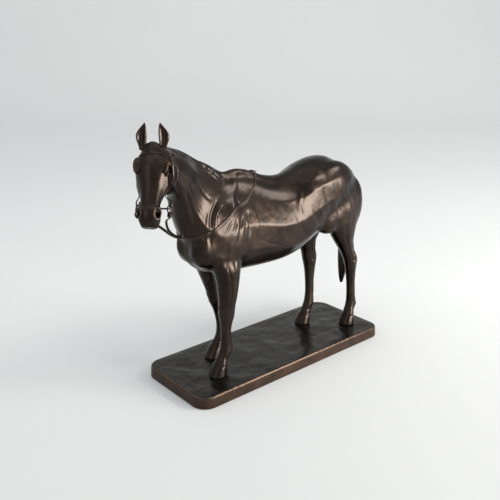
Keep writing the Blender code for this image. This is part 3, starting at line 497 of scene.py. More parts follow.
# Head: way down the face from the poll, depth of the face and of the jaw, half widths
HEAD = (
    (0, 1.5, 13, 3, 4.6, 5.2, 4.5, 2.5),
    (3.7, 0.2, 17.5, 4.2, 6.2, 6.4, 5.0, 2.8),
    (8.4, -0.6, 18.8, 5.2, 7.2, 6.6, 5.6, 3.6),
    (12.2, 0, 18.6, 4.9, 7.2, 6.8, 5.6, 3.6),
    (17, 0.8, 16, 3.8, 5.8, 6.6, 5.0, 3.2),
    (21.7, 1.2, 12.2, 3.2, 4.4, 4.9, 3.8, 2.4),
    (25.3, 1.3, 10.2, 2.9, 4.1, 4.1, 3.2, 2.2),
    (28.8, 1.2, 10, 3.2, 4.7, 4.6, 3.7, 2.6),
    (32.2, 2.2, 10.2, 2.7, 4.3, 4.5, 3.8, 2.7),
    (34.9, 4.2, 8.8, 1.6, 3, 3.3, 2.9, 1.8),
)
# Legs of the near side: height, front, back, half width, sideways centre
FORELEG = (
    (0, -47, -37.4, 4.5, 10.0),
    (2.5, -45.8, -37.3, 4.2, 9.9),
    (5.3, -44.1, -37.2, 3.8, 9.8),
    (7.3, -42.6, -36.6, 3.0, 9.6),
    (9.5, -41, -34.6, 2.9, 9.4),
    (11.6, -39.8, -32.6, 3.1, 9.3),
    (14.3, -39.2, -32.7, 2.8, 9.3),
    (17, -39, -33.2, 2.5, 9.3),
    (22.6, -38.9, -33.4, 2.4, 9.3),
    (26, -39, -32.8, 2.8, 9.3),
    (30, -39.6, -31.6, 3.6, 9.3),
    (33, -39.9, -31.2, 3.7, 9.3),
    (36, -39.6, -30.8, 3.8, 9.3),
    (38.5, -39.7, -30, 4.1, 9.3),
    (43.5, -40.1, -29.2, 4.7, 9.3),
    (48.5, -40.7, -28.3, 5.2, 9.2),
    (54, -42, -27.3, 5.7, 8.8),
    (60, -44.5, -26.5, 5.5, 7.6),
    (67, -46, -27, 4.8, 6.4),
)
HINDLEG = (
    (0, 47.2, 56.2, 4.4, 10.6),
    (2.5, 48.1, 56.2, 4.2, 10.5),
    (5.2, 49.4, 56.2, 3.8, 10.3),
    (7, 50.6, 56.6, 3.0, 10.1),
    (9, 51.6, 57.8, 2.8, 9.9),
    (11, 52.3, 59.2, 2.85, 9.7),
    (13, 52.7, 58.9, 2.6, 9.6),
    (16, 52.7, 58.2, 2.4, 9.6),
    (19.5, 52.5, 58, 2.3, 9.6),
    (25.5, 52, 57.6, 2.3, 9.5),
    (32, 51.2, 57.8, 2.8, 9.4),
    (36.5, 50.2, 58.4, 3.4, 9.3),
    (39, 49.4, 58.6, 3.6, 9.2),
    (41.5, 48.1, 57.6, 3.7, 9.1),
    (44.5, 46.4, 55.6, 3.8, 9.0),
    (51, 41.9, 54.2, 4.9, 8.8),
    (56, 38.5, 55.4, 5.6, 8.6),
    (62, 35, 57, 6.2, 8.4),
    (68, 33.5, 58.4, 6.4, 8.0),
    (75, 34, 59, 6.2, 7.4),
    (82, 36, 58, 5.6, 6.8),
    (90, 38, 54, 4.0, 5.6),
)
# How far the off legs stand behind (+) or in front (-) of the near ones, by height
OFF_FORE_SHIFT = (
    (0, 8, 19, 25, 31, 37, 43, 52, 60, 67),
    (10.2, 10.6, 10, 8.7, 7, 5.3, 3.6, 1, 0, 0),
)
OFF_HIND_SHIFT = (
    (0, 11, 19, 31, 39, 44, 50, 60, 75, 90),
    (-19.2, -19, -17.5, -16.8, -16.6, -15, -13.6, -8, -3, 0),
)
LEGS = {
    "foreleg_near": (FORELEG, NEAR, OFF_FORE_SHIFT, 2.8),
    "foreleg_off": (FORELEG, OFF, OFF_FORE_SHIFT, 2.8),
    "hindleg_near": (HINDLEG, NEAR, OFF_HIND_SHIFT, 4.2),
    "hindleg_off": (HINDLEG, OFF, OFF_HIND_SHIFT, 4.2),
}
# Muscle masses of one side: centre, radii, lean about Y in degrees
MUSCLES = (
    ((-34.5, 7.4, 73), (8.4, 5.1, 14), 24),
    ((-31, 9, 66.5), (9, 4.4, 10), 20),
    ((-45.5, 6, 66), (6.5, 5, 9), 10),
    ((38, 7.6, 84), (15, 7, 12.5), 0),
    ((46, 8.8, 69), (10.5, 5.4, 15), 8),
    ((35, 8.4, 65.5), (8.5, 5.4, 8), 0),
    ((22.5, 8.6, 86.4), (8, 4.2, 5.6), 0),
    ((54.6, 8.4, 71.5), (5.4, 5, 13), 0),
)
TURN, SLOPE = radians(45), radians(59.5)
AHEAD = Vector((-cos(TURN), -sin(TURN), 0))
FACE_DOWN = AHEAD * cos(SLOPE) - Vector((0, 0, sin(SLOPE)))
FACE_NEAR = Vector((sin(TURN), -cos(TURN), 0))
FACE_DEEP = -AHEAD * sin(SLOPE) - Vector((0, 0, cos(SLOPE)))
FACE_AXES = (FACE_DOWN, FACE_NEAR, FACE_DEEP)
POLL = at(-71.7, -6.2, 118.5)


def on_head(down, near, deep):
    return POLL + (FACE_DOWN * down + FACE_NEAR * near + FACE_DEEP * deep) * UNIT


def leg_place(shape, z, share=0.5, out=0.0):
    """A place on a leg: a share of the way from front to back, and out to its side (1) or inside (-1)."""
    table, side, (heights, shifts), inset = shape
    columns = list(zip(*table))
    front, back, width, sideways = (np.interp(z, columns[0], column) for column in columns[1:])
    shift = np.interp(z, heights, shifts) if side == OFF else 0
    inward = inset * (1 - z / columns[0][-1]) if side == OFF else 0
    y = side * (sideways - inward + out * width)
    return at(front + (back - front) * share + shift, y, z)


def add_legs(clay):
    for shape in LEGS.values():
        rings = []
        columns = list(zip(*shape[0]))
        for row in curve_rows(shape[0], 4):
            width = row[3]
            widths = (width * 0.56, width * 0.88, width, width * 0.88, width * 0.56)
            ends = (leg_place(shape, row[0], share) for share in (0, 1))
            rings.append(section(*ends, widths, (0, 1, 0)))
        clay.loft(rings, 0.0035)


def add_body(clay):
    rings = []
    for x, top, bottom, *widths in curve_rows(TRUNK, 5):
        rings.append(section(at(x, 0, top), at(x, 0, bottom), widths, (0, 1, 0), 72))
    clay.loft(rings, 0.003)
    for centre, radii, lean in MUSCLES:
        for side in (NEAR, OFF):
            turn = Matrix.Rotation(radians(lean), 3, "Y")
            clay.ball(at(centre[0], side * centre[1], centre[2]), turn.transposed(), radii, 0.0050)
    rings = []
    rows = curve_rows(NECK, 5)
    centres = [(row[:3] + row[3:6]) / 2 for row in rows]
    for index, row in enumerate(rows):
        along = centres[min(index + 1, len(rows) - 1)] - centres[max(index - 1, 0)]
        side = Vector(along).cross(Vector(row[3:6] - row[:3])).normalized()
        rings.append(section(at(*row[:3]), at(*row[3:6]), row[6:], side, 60))
    clay.loft(rings, 0.0036)


def add_head(clay):
    rings = []
    for down, face, jaw, *widths in curve_rows(HEAD, 4):
        rings.append(section(on_head(down, 0, face), on_head(down, 0, jaw), widths, FACE_NEAR, 60))
    clay.loft(rings, 0.0022)


def face_line(side, places):
    """Places on one side of the face, given by way down, way out to that side, and depth."""
    return [on_head(down, side * out, deep) for down, out, deep in places]


def sculpt_head(clay):
    """Cheeks, brow bones, the swell of the nostrils and the ridge below each eye."""
    for side in (1, -1):
        clay.ball(on_head(12.7, side * 5.2, 11.5), FACE_AXES, (6.0, 2.0, 6.2), 0.0015)
        clay.ball(on_head(8.2, side * 6.3, 1.9), FACE_AXES, (3.0, 1.5, 1.5), 0.0018)
        clay.ball(on_head(28.6, side * 3.5, 3.6), FACE_AXES, (3.0, 1.9, 2.4), 0.0018)
        facial_ridge = face_line(side, ((12, 6.6, 6.0), (16, 6.2, 6.2), (20.5, 5.1, 5.6)))
        clay.strand(facial_ridge, (0.55, 0.6, 0.3), 0.003)


UPPER_LID = ((12.6, 6.1, 2.6), (11.7, 6.8, 1.7), (10.5, 7.05, 1.4), (9.4, 7.0, 2.0), (8.9, 6.9, 3.0))
LOWER_LID = ((12.6, 6.1, 2.9), (11.8, 6.9, 3.8), (10.5, 7.1, 4.1), (9.3, 7.0, 3.7))
BROW_BONE = ((6.2, 6.2, 2.2), (7.8, 6.9, 1.2), (10, 6.9, 0.7), (12.4, 6.1, 1.0))
NOSTRIL_RIM = ((32.5, 3.9, 2.2), (31.6, 3.0, 0.8), (29.6, 2.6, 0.2), (27.5, 3.1, 0.4), (26.6, 4.3, 1.6))
MOUTH = ((35.2, 0.4, 6.7), (33.8, 2.7, 7.0), (31, 4.3, 7.0), (28, 4.6, 6.8), (26.4, 4.4, 6.4))


def sculpt_details(clay):
    """Eyes and their lids, nostrils, mouth, and the edges of cheek and jaw."""
    for side in (1, -1):
        clay.ball(on_head(10.7, side * 7.6, 2.5), FACE_AXES, (1.7, 0.7, 1.3), 0.0010, True)
        clay.ball(on_head(10.7, side * 6.2, 2.3), FACE_AXES, (1.5, 1.5, 1.35), 0.0003)
        for lid, thick in ((UPPER_LID, 0.34), (LOWER_LID, 0.26)):
            clay.strand(face_line(side, lid), [thick] * len(lid), 0.0006)
        clay.strand(face_line(side, BROW_BONE), (0.45, 0.75, 0.7, 0.4), 0.0012)
        clay.ball(on_head(5.2, side * 7.4, 3.4), FACE_AXES, (2.2, 1.4, 1.6), 0.0015, True)
        clay.ball(on_head(29.6, side * 4.7, 1.4), FACE_AXES, (2.6, 1.7, 2.2), 0.0004, True)
        clay.strand(face_line(side, ((30.8, 4.4, 2.6), (28.6, 3.2, 4.4))), (1.0, 0.7), 0.0004, True)
        clay.strand(face_line(side, NOSTRIL_RIM), (0.15, 0.35, 0.42, 0.4, 0.2), 0.0010)
        clay.strand(face_line(side, MOUTH), (0.28, 0.34, 0.34, 0.32, 0.2), 0.0005, True)
        cheek_edge = face_line(side, ((13.8, 6.45, 7.4), (16.5, 6.05, 7.0), (19.5, 5.15, 6.2)))
        clay.strand(cheek_edge, (0.3, 0.4, 0.25), 0.0012)
        jaw_edge = face_line(side, ((7.0, 5.0, 17.3), (12, 5.2, 17.4), (16.5, 4.6, 15.2)))
        clay.strand(jaw_edge, (0.5, 0.7, 0.4), 0.0014)


# Ears: way along each, half width, half thickness, and how far it bows out
EAR = (
    (-0.16, 1.5, 1.5, 0.1),
    (0.0, 1.6, 1.5, 0.15),
    (0.14, 1.9, 1.5, 0.35),
    (0.3, 2.25, 1.4, 0.55),
    (0.48, 2.3, 1.25, 0.5),
    (0.66, 1.85, 1.0, 0.1),
    (0.8, 1.2, 0.75, -0.4),
    (0.92, 0.6, 0.45, -0.8),
    (1.0, 0.22, 0.22, -1.0),
)


def add_ears(clay):
    for side in (1, -1):
        root = on_head(0.4, side * 4.3, 2.2)
        lean = Vector((0.02, side * 0.02, 1)).normalized() * 10.2 * UNIT
        rings, hollow = [], []
        for way, width, thickness, bow in curve_rows(EAR, 4):
            middle = np.array(root + lean * way + FACE_NEAR * side * bow * UNIT)
            angles = np.arange(40) * tau / 40
            across = np.outer(np.cos(angles) * width, FACE_NEAR)
            through = np.outer(np.sin(angles) * thickness, AHEAD)
            rings.append(middle + (across + through) * UNIT)
            if 0.08 < way < 0.94:
                hollow.append((Vector(middle) + AHEAD * thickness * 1.2 * UNIT, max(width * 0.76, 0.15)))
        clay.loft(rings, 0.0012)
        points, radii = zip(*hollow)
        clay.strand(points, radii, 0.0004, True)


def cling(clay, point, depth):
    """The place on the clay's surface nearest to a point, sunk by a depth."""
    place = np.array(point)
    for _ in range(4):
        index = np.rint(place / clay.grain).astype(int) - clay.start
        index = tuple(np.clip(index, 1, np.array(clay.size) - 2))
        slope = []
        for axis in range(3):
            step = np.eye(3, dtype=int)[axis]
            slope.append(clay.field[tuple(index + step)] - clay.field[tuple(index - step)])
        slope = np.array(slope) / max(np.linalg.norm(slope), 1e-9)
        place = place - slope * (clay.field[index] + depth)
    return Vector(place)


def hair(clay, rows, thickness, blend, seed, spread, count, frame=at):
    """Locks of hair that follow a row of places side by side, each a little different."""
    random = np.random.default_rng(seed)
    locks = []
    for lock in range(count):
        share = (lock + 0.5) / count
        sway = random.normal(0, 0.25, 3)
        points = []
        for index, (first, second) in enumerate(rows):
            place = Vector(first).lerp(Vector(second), share) + Vector(sway) * spread * index / len(rows)
            points.append(frame(*place))
        points = [cling(clay, point, 0.0001) for point in curve_rows([tuple(point) for point in points], 4)]
        taper = np.interp(np.linspace(0, 1, len(points)), (0, 0.25, 0.8, 1), (0.5, 1, 0.8, 0.3))
        locks.append((points, thickness * taper * random.uniform(0.75, 1.25)))
    for points, radii in locks:
        clay.strand(points, radii, blend)


# The modeller's tool marks. Each is a line pressed into the clay (-) or raised from it (+), with its height
# and its half width in millimetres; those of the near side are repeated on the off side.
BODY_MARKS = (
    (
        -1.05,
        2.2,
        ((-38.6, 7.8, 89.2), (-42.7, 9.3, 85.1), (-45, 10.3, 80), (-45.6, 10.4, 73.4), (-45.8, 10.6, 64)),
    ),
    (0.77, 2.2, ((-36, 9.5, 88.5), (-40.4, 10, 83.5), (-42.6, 10.8, 78), (-42.8, 11, 71))),
    (-0.49, 1.1, ((-36.6, 9, 86.3), (-39, 9.8, 84), (-41.4, 10.5, 80.8))),
    (-0.56, 1.4, ((-45.3, 9, 86), (-47.6, 9.7, 80.9), (-48.4, 9.7, 75.8), (-48, 9.7, 70))),
    (-0.63, 1.3, ((-33.6, 12.5, 79.3), (-37, 12.2, 74.5), (-40.4, 11.9, 69.3))),
    (0.35, 1.5, ((-32.3, 12.5, 78), (-35, 12.4, 73.8), (-37.8, 12.2, 69))),
    (-0.63, 1.3, ((-30.6, 12.5, 79.3), (-33, 12.5, 74.3), (-35, 12.6, 67.3))),
    (0.42, 1.5, ((-29.2, 12.3, 78.8), (-31.2, 12.6, 74), (-33, 12.9, 68))),
    (-0.7, 1.4, ((-26.4, 11.6, 80.8), (-29.4, 12.3, 74.6), (-31.6, 13.1, 67.8))),
    (0.42, 1.6, ((-24.6, 11.4, 80), (-27.2, 12.4, 74.6), (-29, 13.1, 69))),
    (-0.60, 2.2, ((-22.6, 10.2, 82), (-23.0, 11.4, 78), (-23.2, 12.2, 74.7), (-24.8, 12.6, 68))),
    (0.49, 2.2, ((-19.6, 9.6, 84.8), (-19.2, 11.2, 79.5), (-18.6, 12.6, 74), (-19.4, 13, 68))),
    (0.45, 3.6, ((-25.5, 5, 93.7), (-26.6, 9.6, 90), (-29.6, 10.6, 86.5), (-33.6, 10.6, 83))),
    (-0.25, 1.6, ((-21.6, 5.4, 92.6), (-22.2, 8.6, 89), (-23.6, 9.6, 86))),
    (-0.63, 1.8, ((-36.7, 12.5, 68.7), (-38.1, 12.6, 60.6), (-39.6, 12.8, 51.5))),
    (-0.56, 1.6, ((-31.4, 13.1, 65.4), (-33, 13.1, 58.7), (-34.8, 14.1, 50.6))),
    (0.42, 2, ((-34.4, 13, 66), (-35.6, 13, 59), (-37.2, 13.4, 52))),
    (-0.18, 2.2, ((-15.6, 9.5, 83.6), (-14.8, 11.5, 78.4), (-13.8, 13.4, 69.6))),
    (0.14, 2, ((-12.6, 9.9, 83), (-11.8, 12, 77.4), (-10.9, 13.8, 69.6))),
    (-0.18, 2.2, ((-9.9, 10.3, 82.2), (-8.7, 12.8, 76), (-7.9, 14.2, 67))),
    (0.14, 2, ((-6.8, 10.9, 81.6), (-5.4, 13.2, 75.3), (-4.7, 14.5, 67.6))),
    (-0.16, 2.2, ((-3.5, 11.3, 80.8), (-2.2, 13.7, 74.5), (-1.7, 14.7, 66.4))),
    (0.12, 2, ((-0.6, 11.9, 80.4), (0.8, 14, 74), (1.6, 14.9, 67))),
    (-0.40, 3.6, ((10.8, 10.4, 86.9), (7, 12.4, 80.5), (6.6, 14.9, 73), (11.4, 14.7, 64.4), (17, 12, 60))),
    (-0.25, 1.8, ((13.6, 11.9, 85), (10.6, 13.4, 79.4), (11.6, 15.1, 73))),
    (0.30, 2, ((11.8, 11.6, 86), (8.9, 13.2, 80), (9.4, 15, 73))),
    (0.30, 4.2, ((16.3, 9.6, 91.7), (17.6, 12.2, 88.7), (20.6, 13.6, 85.2))),
    (-0.30, 3.6, ((25, 12.6, 91), (26.4, 14.6, 81.4), (31.1, 13.5, 71.3), (33.6, 13.3, 63.9))),
    (-0.35, 3.2, ((34.4, 13.2, 90.1), (37.1, 14.3, 81.3), (41.3, 13.4, 71.5), (42.6, 14.1, 63.6))),
    (-0.45, 2.4, ((42.6, 14.2, 86), (46.4, 13.5, 76.2), (47.9, 14.2, 67.1), (48.4, 13, 60))),
    (0.35, 3, ((30, 13.4, 90), (31.6, 14.6, 81), (35.4, 13.7, 72), (38, 13.9, 64))),
    (-0.45, 2.6, ((16.4, 14.5, 78.9), (19, 15.1, 71.7), (25.4, 12.6, 64.9), (31, 12, 60.5))),
    (0.35, 2.6, ((22.4, 14.5, 77), (24.6, 14.6, 71), (29.6, 13, 65.5))),
    (-0.7, 1.8, ((-67, 12.2, 106), (-64.6, 13.3, 101), (-61, 9.8, 94.4), (-57.1, 7, 86.3), (-53.5, 4, 74.1))),
    (0.42, 1.6, ((-62.8, 12.6, 102.6), (-59, 10.2, 94.4), (-55.2, 7.8, 86), (-52.8, 6, 77))),
    (-0.49, 1.8, ((-60.8, 12.4, 104.3), (-57.2, 10.5, 94.3), (-53.4, 8.5, 85), (-51.6, 8, 76))),
    (0.35, 2, ((-58.4, 11.6, 102), (-54.4, 9.8, 93), (-51.2, 8.9, 84.4))),
    (-0.42, 2, ((-56.1, 10.8, 101.5), (-51.9, 9, 91.3), (-48.6, 8.9, 83.5), (-49.6, 9, 77))),
    (-0.35, 2, ((-50.6, 8.2, 101), (-46.6, 8, 93.6), (-42.6, 8.4, 89))),
    (-0.24, 1.4, ((-16.3, 13.3, 66), (-7.8, 13.5, 62), (2.2, 13.7, 60.6), (9, 13.4, 62))),
    (-0.25, 2.4, ((28, 2.0, 97.5), (38, 2.2, 96.6), (48, 2, 92.8))),
)
# Lines on a leg: height and half width, the sides it is made on (1 outside, -1 inside), and places by
# height, share of the way back, and way out
BOTH = (1, -1)
HOOF_MARKS = (
    (-0.6, 0.9, BOTH, ((7.4, 0.02, 0.2), (6.9, 0.3, 0.9), (6.1, 0.65, 1), (5.2, 0.97, 0.4))),
    (0.5, 1.1, BOTH, ((8.6, 0.02, 0.2), (8.1, 0.3, 0.9), (7.2, 0.65, 1), (6.2, 0.97, 0.4))),
)
# The coronet: a raised ring round the top of the hoof, with a groove this far below it
CORONET = ((7.6, 0.0, 0.0), (7.2, 0.3, 0.95), (6.2, 0.7, 0.95), (5.4, 1.0, 0.0))
CORONET_DROP = 1.3
FORE_MARKS = (
    (-0.75, 1.0, BOTH, ((30, 0.62, 1), (24, 0.6, 1), (18, 0.6, 1), (13.5, 0.62, 1))),
    (0.6, 1.6, (1,), ((36.4, 0.2, 0.8), (34.6, 0.02, 0), (36.4, 0.2, -0.8))),
    (0.6, 1.4, (1,), ((31.6, 0.25, 0.8), (30.6, 0.04, 0), (31.6, 0.25, -0.8))),
    (-0.5, 1.0, (1,), ((33.6, 0.22, 0.9), (32.6, 0.02, 0), (33.6, 0.22, -0.9))),
    (0.8, 1.5, (1,), ((35.5, 0.96, 0.3), (33.5, 1.0, 0))),
    (0.5, 1.2, BOTH, ((12.4, 0.7, 0.95), (11.2, 0.8, 0.9))),
    (-0.6, 1.5, (1,), ((58, 0.34, 1), (50, 0.36, 1), (43, 0.4, 1), (39, 0.42, 1))),
    (-0.5, 1.3, (1,), ((56, 0.66, 1), (49, 0.68, 1), (42, 0.72, 1))),
    (-0.6, 1.5, (-1,), ((56, 0.4, 1), (48, 0.42, 1), (41, 0.45, 1))),
    (0.5, 1.0, (-1,), ((40.5, 0.55, 1), (39, 0.56, 1))),
    (0.4, 0.7, (1,), ((54, 0.2, 0.9), (47, 0.3, 0.98), (41, 0.24, 0.9), (37, 0.28, 0.9))),
)
HIND_MARKS = (
    (-0.75, 1.0, BOTH, ((33, 0.64, 1), (27, 0.58, 1), (20, 0.58, 1), (14, 0.62, 1))),
    (-1.3, 1.7, BOTH, ((53, 0.72, 1), (47.5, 0.72, 1), (43.5, 0.7, 1), (41, 0.62, 1))),
    (0.7, 1.5, BOTH, ((38.5, 0.5, 1), (36.4, 0.34, 0.9))),
    (0.5, 1.2, BOTH, ((12.2, 0.72, 0.95), (11, 0.82, 0.9))),
    (-0.6, 1.7, (1,), ((62, 0.36, 1), (54, 0.34, 1), (47, 0.34, 1), (42, 0.32, 0.9))),
    (0.45, 0.8, (1,), ((56, 0.22, 0.9), (48, 0.26, 0.95), (41, 0.22, 0.85), (36, 0.25, 0.8))),
    (0.8, 1.4, (1,), ((41.5, 0.96, 0.3), (39.5, 1.0, 0))),
)


MARK_REACH, MARK_FADE = 2.6, 1.5


def press(points, normals, marks):
    """Move the surface out or in along each mark, fading towards the mark's ends."""
    moved = np.zeros(len(points))
    for height, half, line in marks:
        height, half = height / 1000, half / 1000
        line = np.array(curve_rows([tuple(place) for place in line], 4))
        low, high = line.min(0) - half * MARK_REACH, line.max(0) + half * MARK_REACH
        near = np.flatnonzero(((points > low) & (points < high)).all(1))
        if not len(near):
            continue
        here = points[near]
        least, way = np.full(len(near), 1.0), np.zeros(len(near))
        count = len(line) - 1
        for index, (start, end) in enumerate(zip(line, line[1:])):
            run = end - start
            share = np.clip(((here - start) @ run) / max(run @ run, 1e-12), 0, 1)
            gap = np.linalg.norm(here - start - np.outer(share, run), axis=1)
            closer = gap < least
            least = np.where(closer, gap, least)
            way = np.where(closer, (index + share) / count, way)
        fade = np.clip(np.sin(pi * np.clip(way, 0.03, 0.97)) * MARK_FADE, 0, 1)
        moved[near] += height * np.exp(-((least / half) ** 2)) * fade
    return points + normals * moved[:, None]


def surface_normals(points, quads):
    """The way out of the surface at each point, from the quads round it."""
    across = points[quads[:, 2]] - points[quads[:, 0]]
    along = points[quads[:, 3]] - points[quads[:, 1]]
    facing = np.cross(across, along)
    normals = np.zeros_like(points)
    for corner in range(4):
        for axis in range(3):
            normals[:, axis] += np.bincount(quads[:, corner], facing[:, axis], len(points))
    return normals / np.maximum(np.linalg.norm(normals, axis=1, keepdims=True), 1e-12)


def outward(points, quads):
    """Quads turned so that the surface faces out."""
    corners = [points[quads[:, corner]] for corner in range(4)]
    bulk = (np.cross(corners[0], corners[1]) * corners[2]).sum()
    bulk += (np.cross(corners[0], corners[2]) * corners[3]).sum()
    return quads if bulk > 0 else quads[:, ::-1]


def all_marks():
    marks = []
    for height, half, line in BODY_MARKS:
        for side in (NEAR, OFF):
            marks.append((height, half, [at(x, side * y, z) for x, y, z in line]))
    for name, shape in LEGS.items():
        own = FORE_MARKS if name.startswith("fore") else HIND_MARKS
        for height, half, sides, line in own + HOOF_MARKS:
            for out in sides:
                places = [leg_place(shape, z, share, out * way) for z, share, way in line]
                marks.append((height, half, places))
        for out in BOTH:
            coronet = [leg_place(shape, z, share, out * way) for z, share, way in CORONET]
            marks.append((0.6, 0.9, coronet))
            marks.append((-0.7, 0.6, [place - Vector((0, 0, CORONET_DROP * UNIT)) for place in coronet]))
    return marks


COARSE_TOUCH, FINE_TOUCH, TOUCH_DEPTH = 62, 140, 0.00016


def hand_work(points):
    """The slight unevenness that fingers and tools leave on clay."""
    swells = []
    for point in points:
        place = Vector(point)
        swells.append(noise.noise(place * COARSE_TOUCH) + 0.5 * noise.noise(place * FINE_TOUCH))
    return np.array(swells) * TOUCH_DEPTH


def worked_skin(clay):
    points, quads = clay.skin()
    quads = outward(points, quads)
    normals = surface_normals(points, quads)
    points = press(points, normals, all_marks())
    points = points + normals * hand_work(points)[:, None]
    return points, quads


def curvature(points, quads):
    """How far each place stands out from its neighbours, smoothed: ridges above 0 and hollows below."""
    normals = surface_normals(points, quads)
    ends = np.concatenate([quads[:, [0, 1]], quads[:, [1, 2]], quads[:, [2, 3]], quads[:, [3, 0]]])
    count = np.maximum(np.bincount(ends[:, 0], minlength=len(points)), 1)

    def around(values):
        sums = [np.bincount(ends[:, 0], value[ends[:, 1]], len(points)) for value in values.T]
        return np.stack(sums, 1) / count[:, None]

    smooth = points
    for _ in range(5):
        smooth = around(smooth)
    bulge = ((points - smooth) * normals).sum(1)[:, None]
    for _ in range(2):
        bulge = around(bulge)
    return bulge[:, 0]


def cut(bm, place, away, chosen):
    """Slice off what lies beyond a plane, among the chosen faces, and close the cut."""
    faces = [face for face in bm.faces if chosen(face.calc_center_median())]
    near = {vert for face in faces for vert in face.verts} | {edge for face in faces for edge in face.edges}
    bmesh.ops.bisect_plane(
        bm, geom=list(near) + faces, plane_co=place, plane_no=away, clear_outer=True, dist=0.00001
    )
    rims = [edge for edge in bm.edges if edge.is_boundary]
    made = bmesh.ops.holes_fill(bm, edges=rims, sides=0)["faces"]
    for face in made:
        face.smooth = False
    for edge in rims:
        if edge.is_valid:
            edge.smooth = False


FULL_BULGE = 0.0006


def casting_mesh(points, quads):
    """A smooth mesh that carries how far each place stands out: 0.5 where flat."""
    bulge = curvature(points, quads)
    mesh = bpy.data.meshes.new("casting")
    mesh.from_pydata(points.tolist(), [], quads.tolist())
    mark(mesh, "ridge", 0.5 + bulge / FULL_BULGE)
    for polygon in mesh.polygons:
        polygon.use_smooth = True
    return mesh


def keep_piece(name, mesh, cuts, nodes, drop=None):
    """One casting from a mesh: cut at its joints, and cleared of what belongs to its neighbours."""
    bm = bmesh.new()
    bm.from_mesh(mesh)
    if drop:
        doomed = [face for face in bm.faces if drop(face.calc_center_median())]
        bmesh.ops.delete(bm, geom=doomed, context="FACES")
    for place, away, chosen in cuts:
        cut(bm, place, away, chosen)
    loose = [vert for vert in bm.verts if not vert.link_faces]
    bmesh.ops.delete(bm, geom=loose, context="VERTS")
    own = bpy.data.meshes.new(name)
    bm.to_mesh(own)
    bm.free()
    piece = stand(name, own, brown_patina)
    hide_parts(*nodes)
    return piece


# Brown patina: nearly black in the hollows, warmer where hands have worn it, under a thin coat of wax.
brown_patina = Finish("brown_patina", metallic=0.85, coat_roughness=0.16)
ridge = brown_patina.marked("ridge")
patina_blotch = brown_patina.cloud(0.030, 4.0, 0.5)
patina_speck = brown_patina.cloud(0.0032, 3.0)
BRONZE_DARK, BRONZE_BROWN = (0.0118, 0.0070, 0.0044), (0.0225, 0.0136, 0.0084)
BRONZE_WORN, BRONZE_HOLLOW = (0.060, 0.036, 0.022), (0.010, 0.008, 0.0065)
patina_deep = brown_patina.blend(patina_blotch.between(0.3, 0.7), BRONZE_DARK, BRONZE_BROWN)
patina_warm = brown_patina.blend(ridge.between(0.55, 1.0) * 0.55, patina_deep, BRONZE_WORN)
patina_dark = brown_patina.blend((1 - ridge).between(0.56, 0.95) * 0.6, patina_warm, BRONZE_HOLLOW)
brown_patina.drive("Base Color", patina_dark)
brown_patina.drive("Roughness", 0.22 + 0.14 * patina_blotch + 0.14 * (1 - ridge).between(0.52, 0.9))
brown_patina.drive("Coat Weight", 0.08 + 0.10 * patina_blotch)
brown_patina.emboss(patina_speck * 0.5 + brown_patina.cloud(0.009, 2.0), 0.00050, 0.5)

NECK_CREST, NECK_BREAST = at(-29.5, 0, 99), at(-50.5, 0, 66)
NECK_MIDDLE = (NECK_CREST + NECK_BREAST) / 2
NECK_AWAY = Vector((0, 1, 0)).cross(NECK_BREAST - NECK_CREST).normalized()
FORE_JOINT, HIND_JOINT = at(0, 0, 46).z, at(0, 0, 50).z
FORE_LIMIT, HIND_LIMIT = at(-22, 0, 0).x, at(25, 0, 0).x


def in_front(place):
    return place.x < FORE_LIMIT


def behind(place):
    return place.x > HIND_LIMIT


def everywhere(place):
    return True


torso_clay = Clay((-60, -19, 40), (64, 19, 105), 0.00104)
add_body(torso_clay)
add_legs(torso_clay)
torso_clay.soften(0.0012)
torso_skin = worked_skin(torso_clay)
torso = keep_piece(
    "torso_casting",
    casting_mesh(*torso_skin),
    [
        (NECK_MIDDLE, NECK_AWAY, everywhere),
        (Vector((0, 0, FORE_JOINT)), Vector((0, 0, -1)), in_front),
        (Vector((0, 0, HIND_JOINT)), Vector((0, 0, -1)), behind),
    ],
    ("torso", "foreleg_pin_near", "foreleg_pin_off", "hindleg_pin_near", "hindleg_pin_off", "tail_pin"),
)

# Forelock and mane: locks modelled as rolls of clay that cling to the poll and the crest, with a tuft that
# falls to the near side in front of the withers.
head_clay = Clay((-90, -22, 62), (-24, 14, 131), 0.00061)
add_body(head_clay)
add_head(head_clay)
sculpt_head(head_clay)
head_clay.ball(on_head(0.8, 0, 1.8), FACE_AXES, (2.6, 3.0, 1.2), 0.003)
head_clay.soften(0.0010)
add_ears(head_clay)
sculpt_details(head_clay)
MANE_LINE = (
    ((-64.5, -7.2, 116.6), (-64.0, -9.6, 115.2)),
    ((-56, -5.4, 113.2), (-56.4, -8.6, 110.6)),
    ((-47, -2.4, 108.4), (-47.2, -5.2, 105.4)),
    ((-39.6, -1.0, 104.2), (-40.4, -4.4, 100.6)),
    ((-33.0, -0.6, 100.8), (-35.4, -4.6, 96.8)),
)
TUFT = (
    ((-46, -1.8, 108.0), (-39, -1.0, 103.8)),
    ((-41.5, -4.4, 104.0), (-33.4, -3.4, 100.6)),
    ((-37.5, -6.2, 100.4), (-28.6, -4.8, 98.4)),
    ((-34.4, -7.4, 97.0), (-25.8, -6.0, 95.8)),
)
FORELOCK = (
    ((-2.2, -2.4, 2.0), (-2.2, 2.4, 2.0)),
    ((0.2, -2.9, 0.0), (0.2, 2.9, 0.0)),
    ((2.6, -2.2, -0.6), (2.6, 3.2, -0.6)),
    ((5.0, -0.6, -0.8), (5.2, 3.4, -0.8)),
    ((7.4, 0.6, -0.8), (8.0, 3.0, -0.8)),
)
hair(head_clay, MANE_LINE, 0.34, 0.0002, 3, 2.6, 5)
hair(head_clay, TUFT, 0.36, 0.0002, 7, 4.0, 8)
hair(head_clay, FORELOCK, 0.36, 0.0002, 11, 2.0, 6, on_head)
